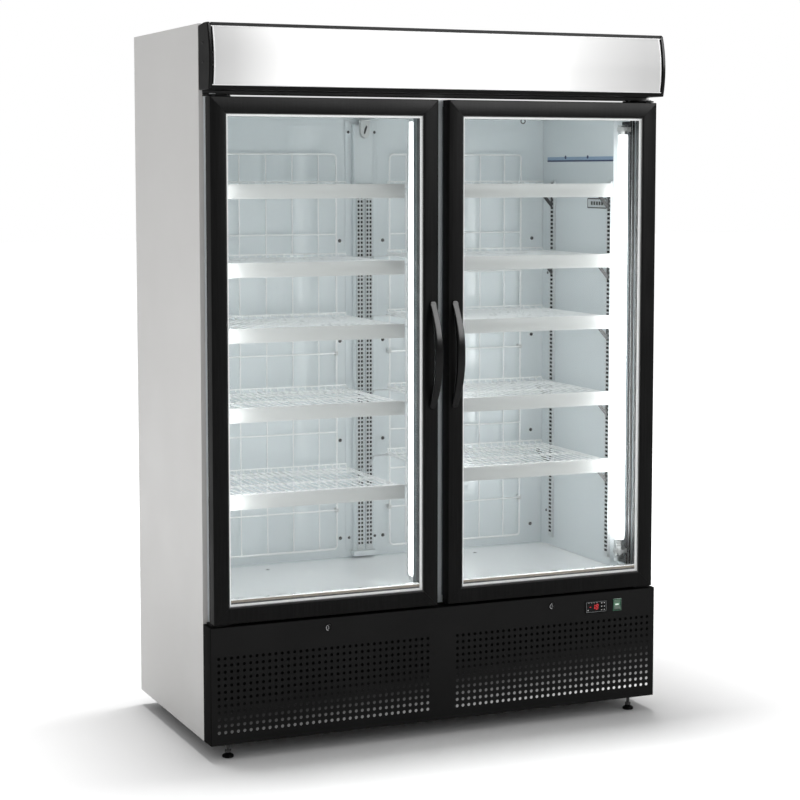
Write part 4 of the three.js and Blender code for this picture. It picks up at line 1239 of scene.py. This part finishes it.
def build_condenser_fan():
    """Shroud round the condenser fan, and its wire guard with the motor."""
    fan, near = centre("condenser_fan"), extent("condenser")[1].y + 1
    bore, deep, sheet, rim = 111, 62, 2, 34
    section = [(bore, 0), (bore, deep), (bore + sheet, deep), (bore + sheet, sheet),
               (bore + rim, sheet), (bore + rim, 0), (bore, 0)]
    shroud = Sketch("condenser_fan_shroud", BLACK_STEEL, "black_painted_steel")
    shroud.turned(section, (fan.x, near, fan.z), "y", 40)
    y = near + deep + 4
    guard = Sketch("condenser_fan_guard", BLACK_STEEL, "black_painted_steel")
    for r in (22, 44, 66, 88, 108):
        guard.hoop(fan.x, fan.z, r, "y", y, 1.5)
    guard.spokes(fan.x, fan.z, (14, 110), "y", y + 2.5, 1.8, 6, radians(15))
    motor = [(0, 2), (24, 2), (26, 5), (26, 34), (22, 38), (0, 38)]
    guard.turned(motor, (fan.x, y, fan.z), "y")


def build_compressor():
    """Terminal box, rubber mounts and base plate of the compressor, and the pipes."""
    low, (x, y, _) = extent("compressor")[0].z, centre("compressor")
    corners = list(product((x - 80, x + 80), (y - 70, y + 70)))
    fittings = Sketch("compressor_fittings", BLACK_PLASTIC, "black_plastic", bevel=0.8)
    fittings.box((x + 70, y - 34, low + 62), (x + 108, y + 34, low + 132))
    for u, v in corners:
        mount = [(0, -4), (13, -4), (15, 0), (13, 8), (8, 14), (0, 14)]
        fittings.turned(mount, (u, v, low), "z", 20)
    fittings.plate(
        around(x, y, 192, 172, 14), [circle(u, v, 8.5) for u, v in corners],
        "z", low + 10.5, low + 13.5,
    )
    pipes = Sketch("refrigerant_pipes", COPPER)
    discharge = [(x - 40, y - 60, low + 120), (x - 90, y - 110, low + 150),
                 (x - 200, y - 130, low + 150), (x - 330, y - 140, low + 200),
                 (-150, FRONT + 282, 280)]
    suction = [(x + 20, y + 60, low + 130), (x + 40, y + 105, low + 170),
               (x - 60, y + 120, low + 230), (x - 160, y + 125, low + 270),
               (x - 170, y + 125, ROOF)]
    liquid = [(-150, FRONT + 253, 92), (-100, FRONT + 262, 80), (-40, FRONT + 330, 90),
              (0, FRONT + 420, 130), (20, FRONT + 470, 240), (22, FRONT + 474, ROOF)]
    for route, radius in ((discharge, 4.0), (suction, 5.0), (liquid, 3.2)):
        pipes.tube(smooth_path(route), radius)
    drier = [(0, 0), (4, 0), (11, 16), (11, 96), (4, 112), (0, 112)]
    pipes.turned(drier, (-40, FRONT + 330, 96), "z", 20)


def build_compartment_lining():
    """Dark sheets over the roof, the sides and the foot of the machine compartment: painted shade that
    keeps it dark behind the grille.
    """
    y, top = (FRONT + 4, BACK - 6), ROOF + 0.4
    lining = Sketch("compartment_shade_lining", BLACK_STEEL, "black_painted_steel")
    lining.box((-INNER_HALF, y[0], ROOF - 3), (INNER_HALF, y[1], top))
    lining.pair((HALF - 5, HALF - 3.5), y, (BASE_Z + 50, top))
    lining.box((-HALF + 24, BACK - 26, BASE_Z + 4), (HALF - 24, BACK - 24.5, 150))


# ---------------------------------------------------------------- build

dress_cad_nodes()
build_skins()
build_rear_grille()
build_kick_panel()
build_filter()
build_under_sheet()
build_locks()
build_controls()
build_rocker()
build_feet()
build_canopy()
build_pilasters()
build_rear_post()
build_liner_screws()
build_guards()
for shelf_side, sign in SIDES.items():
    for index in range(1, 6):
        build_shelf(f"{shelf_side}_shelf_{index}", sign)
build_lamps()
build_centre_lamp()
build_wall_prints()
build_floor_sheet()
build_ceiling()
for door_name in SIDES:
    build_door(door_name)
build_hinges()
build_condenser()
build_condenser_fan()
build_compressor()
build_compartment_lining()
for sketch in Sketch.drawn:
    sketch.finish()

# ---------------------------------------------------------------- stage, light and camera

ROOM_LIGHT = 0.5
CAMERA = {
    "at": (-2.359, -5.434, 1.597),
    "yaw": 23.485,
    "pitch": 5.079,
    "lens": 91.06,
    "shift": -0.06,
}


def pale_floor():
    """White paper sweep, lit up a little further out so that it melts into the backdrop."""
    made = Finish(
        "pale_floor", Specular_IOR_Level=0.03, Roughness=0.8, Emission_Color=(1, 1, 1, 1)
    )
    made.colour(made.noise(0.6), grey(0.92), grey(0.94))
    place = made.add("NewGeometry", {}, "Position")
    away = made.add("VectorMath", {0: place}, "Value", operation="LENGTH")
    return made.feed(made.spread(away, 1.3, 3.2, 0.0, 0.62), "Emission Strength").material


def link(made):
    bpy.context.scene.collection.objects.link(made)
    return made


def build_stage():
    """Floor, with a backdrop that the camera sees as plain white."""
    reach = 40
    mesh = bpy.data.meshes.new("floor")
    mesh.from_pydata(
        [(u, v, 0) for u, v in rectangle((-reach, reach), (-reach, reach))], [], [(0, 1, 2, 3)]
    )
    mesh.materials.append(pale_floor())
    link(bpy.data.objects.new("floor", mesh))

    world = bpy.data.worlds.new("studio")
    bpy.context.scene.world = world
    world.use_nodes = True
    tree = world.node_tree
    room = tree.nodes["Background"]
    backdrop = tree.nodes.new("ShaderNodeBackground")
    for background in (room, backdrop):
        background.inputs["Color"].default_value = (1, 1, 1, 1)
    room.inputs["Strength"].default_value = ROOM_LIGHT
    mixed = tree.nodes.new("ShaderNodeMixShader")
    seen = tree.nodes.new("ShaderNodeLightPath").outputs["Is Camera Ray"]
    sources = (seen, room.outputs["Background"], backdrop.outputs["Background"])
    for socket, source in enumerate(sources):
        tree.links.new(source, mixed.inputs[socket])
    tree.links.new(mixed.outputs["Shader"], tree.nodes["World Output"].inputs["Surface"])


def softbox(name, at, aim, size, power):
    """A rectangular studio lamp at a point, turned to another."""
    data = bpy.data.lights.new(name, "AREA")
    data.shape = "RECTANGLE"
    data.size, data.size_y = size
    data.energy = power
    lamp = link(bpy.data.objects.new(name, data))
    lamp.location = at
    lamp.rotation_mode = "QUATERNION"
    lamp.rotation_quaternion = (Vector(aim) - Vector(at)).to_track_quat("-Z", "Y")
    return lamp


def build_lights():
    """A lamp overhead, and one that shows only as a mirror image in gloss."""
    softbox("overhead", (0, 0.5, 9.0), (0, 0.2, 0), (2.6, 1.2), 640)
    wall = softbox("mirrored_wall", (2.12, -3.26, 4.02), (-0.1, -0.21, 1.57), (2.8, 3.9), 640)
    wall.visible_camera = wall.visible_diffuse = wall.visible_transmission = False


def build_camera():
    """Camera at the front left, tilted down a little."""
    data = bpy.data.cameras.new("camera")
    data.sensor_width = 36
    data.lens = CAMERA["lens"]
    data.shift_y = CAMERA["shift"]
    camera = link(bpy.data.objects.new("camera", data))
    camera.location = CAMERA["at"]
    camera.rotation_euler = (radians(90 - CAMERA["pitch"]), 0, -radians(CAMERA["yaw"]))
    bpy.context.scene.camera = camera


build_stage()
build_lights()
build_camera()
bpy.context.scene.view_settings.view_transform = "Standard"
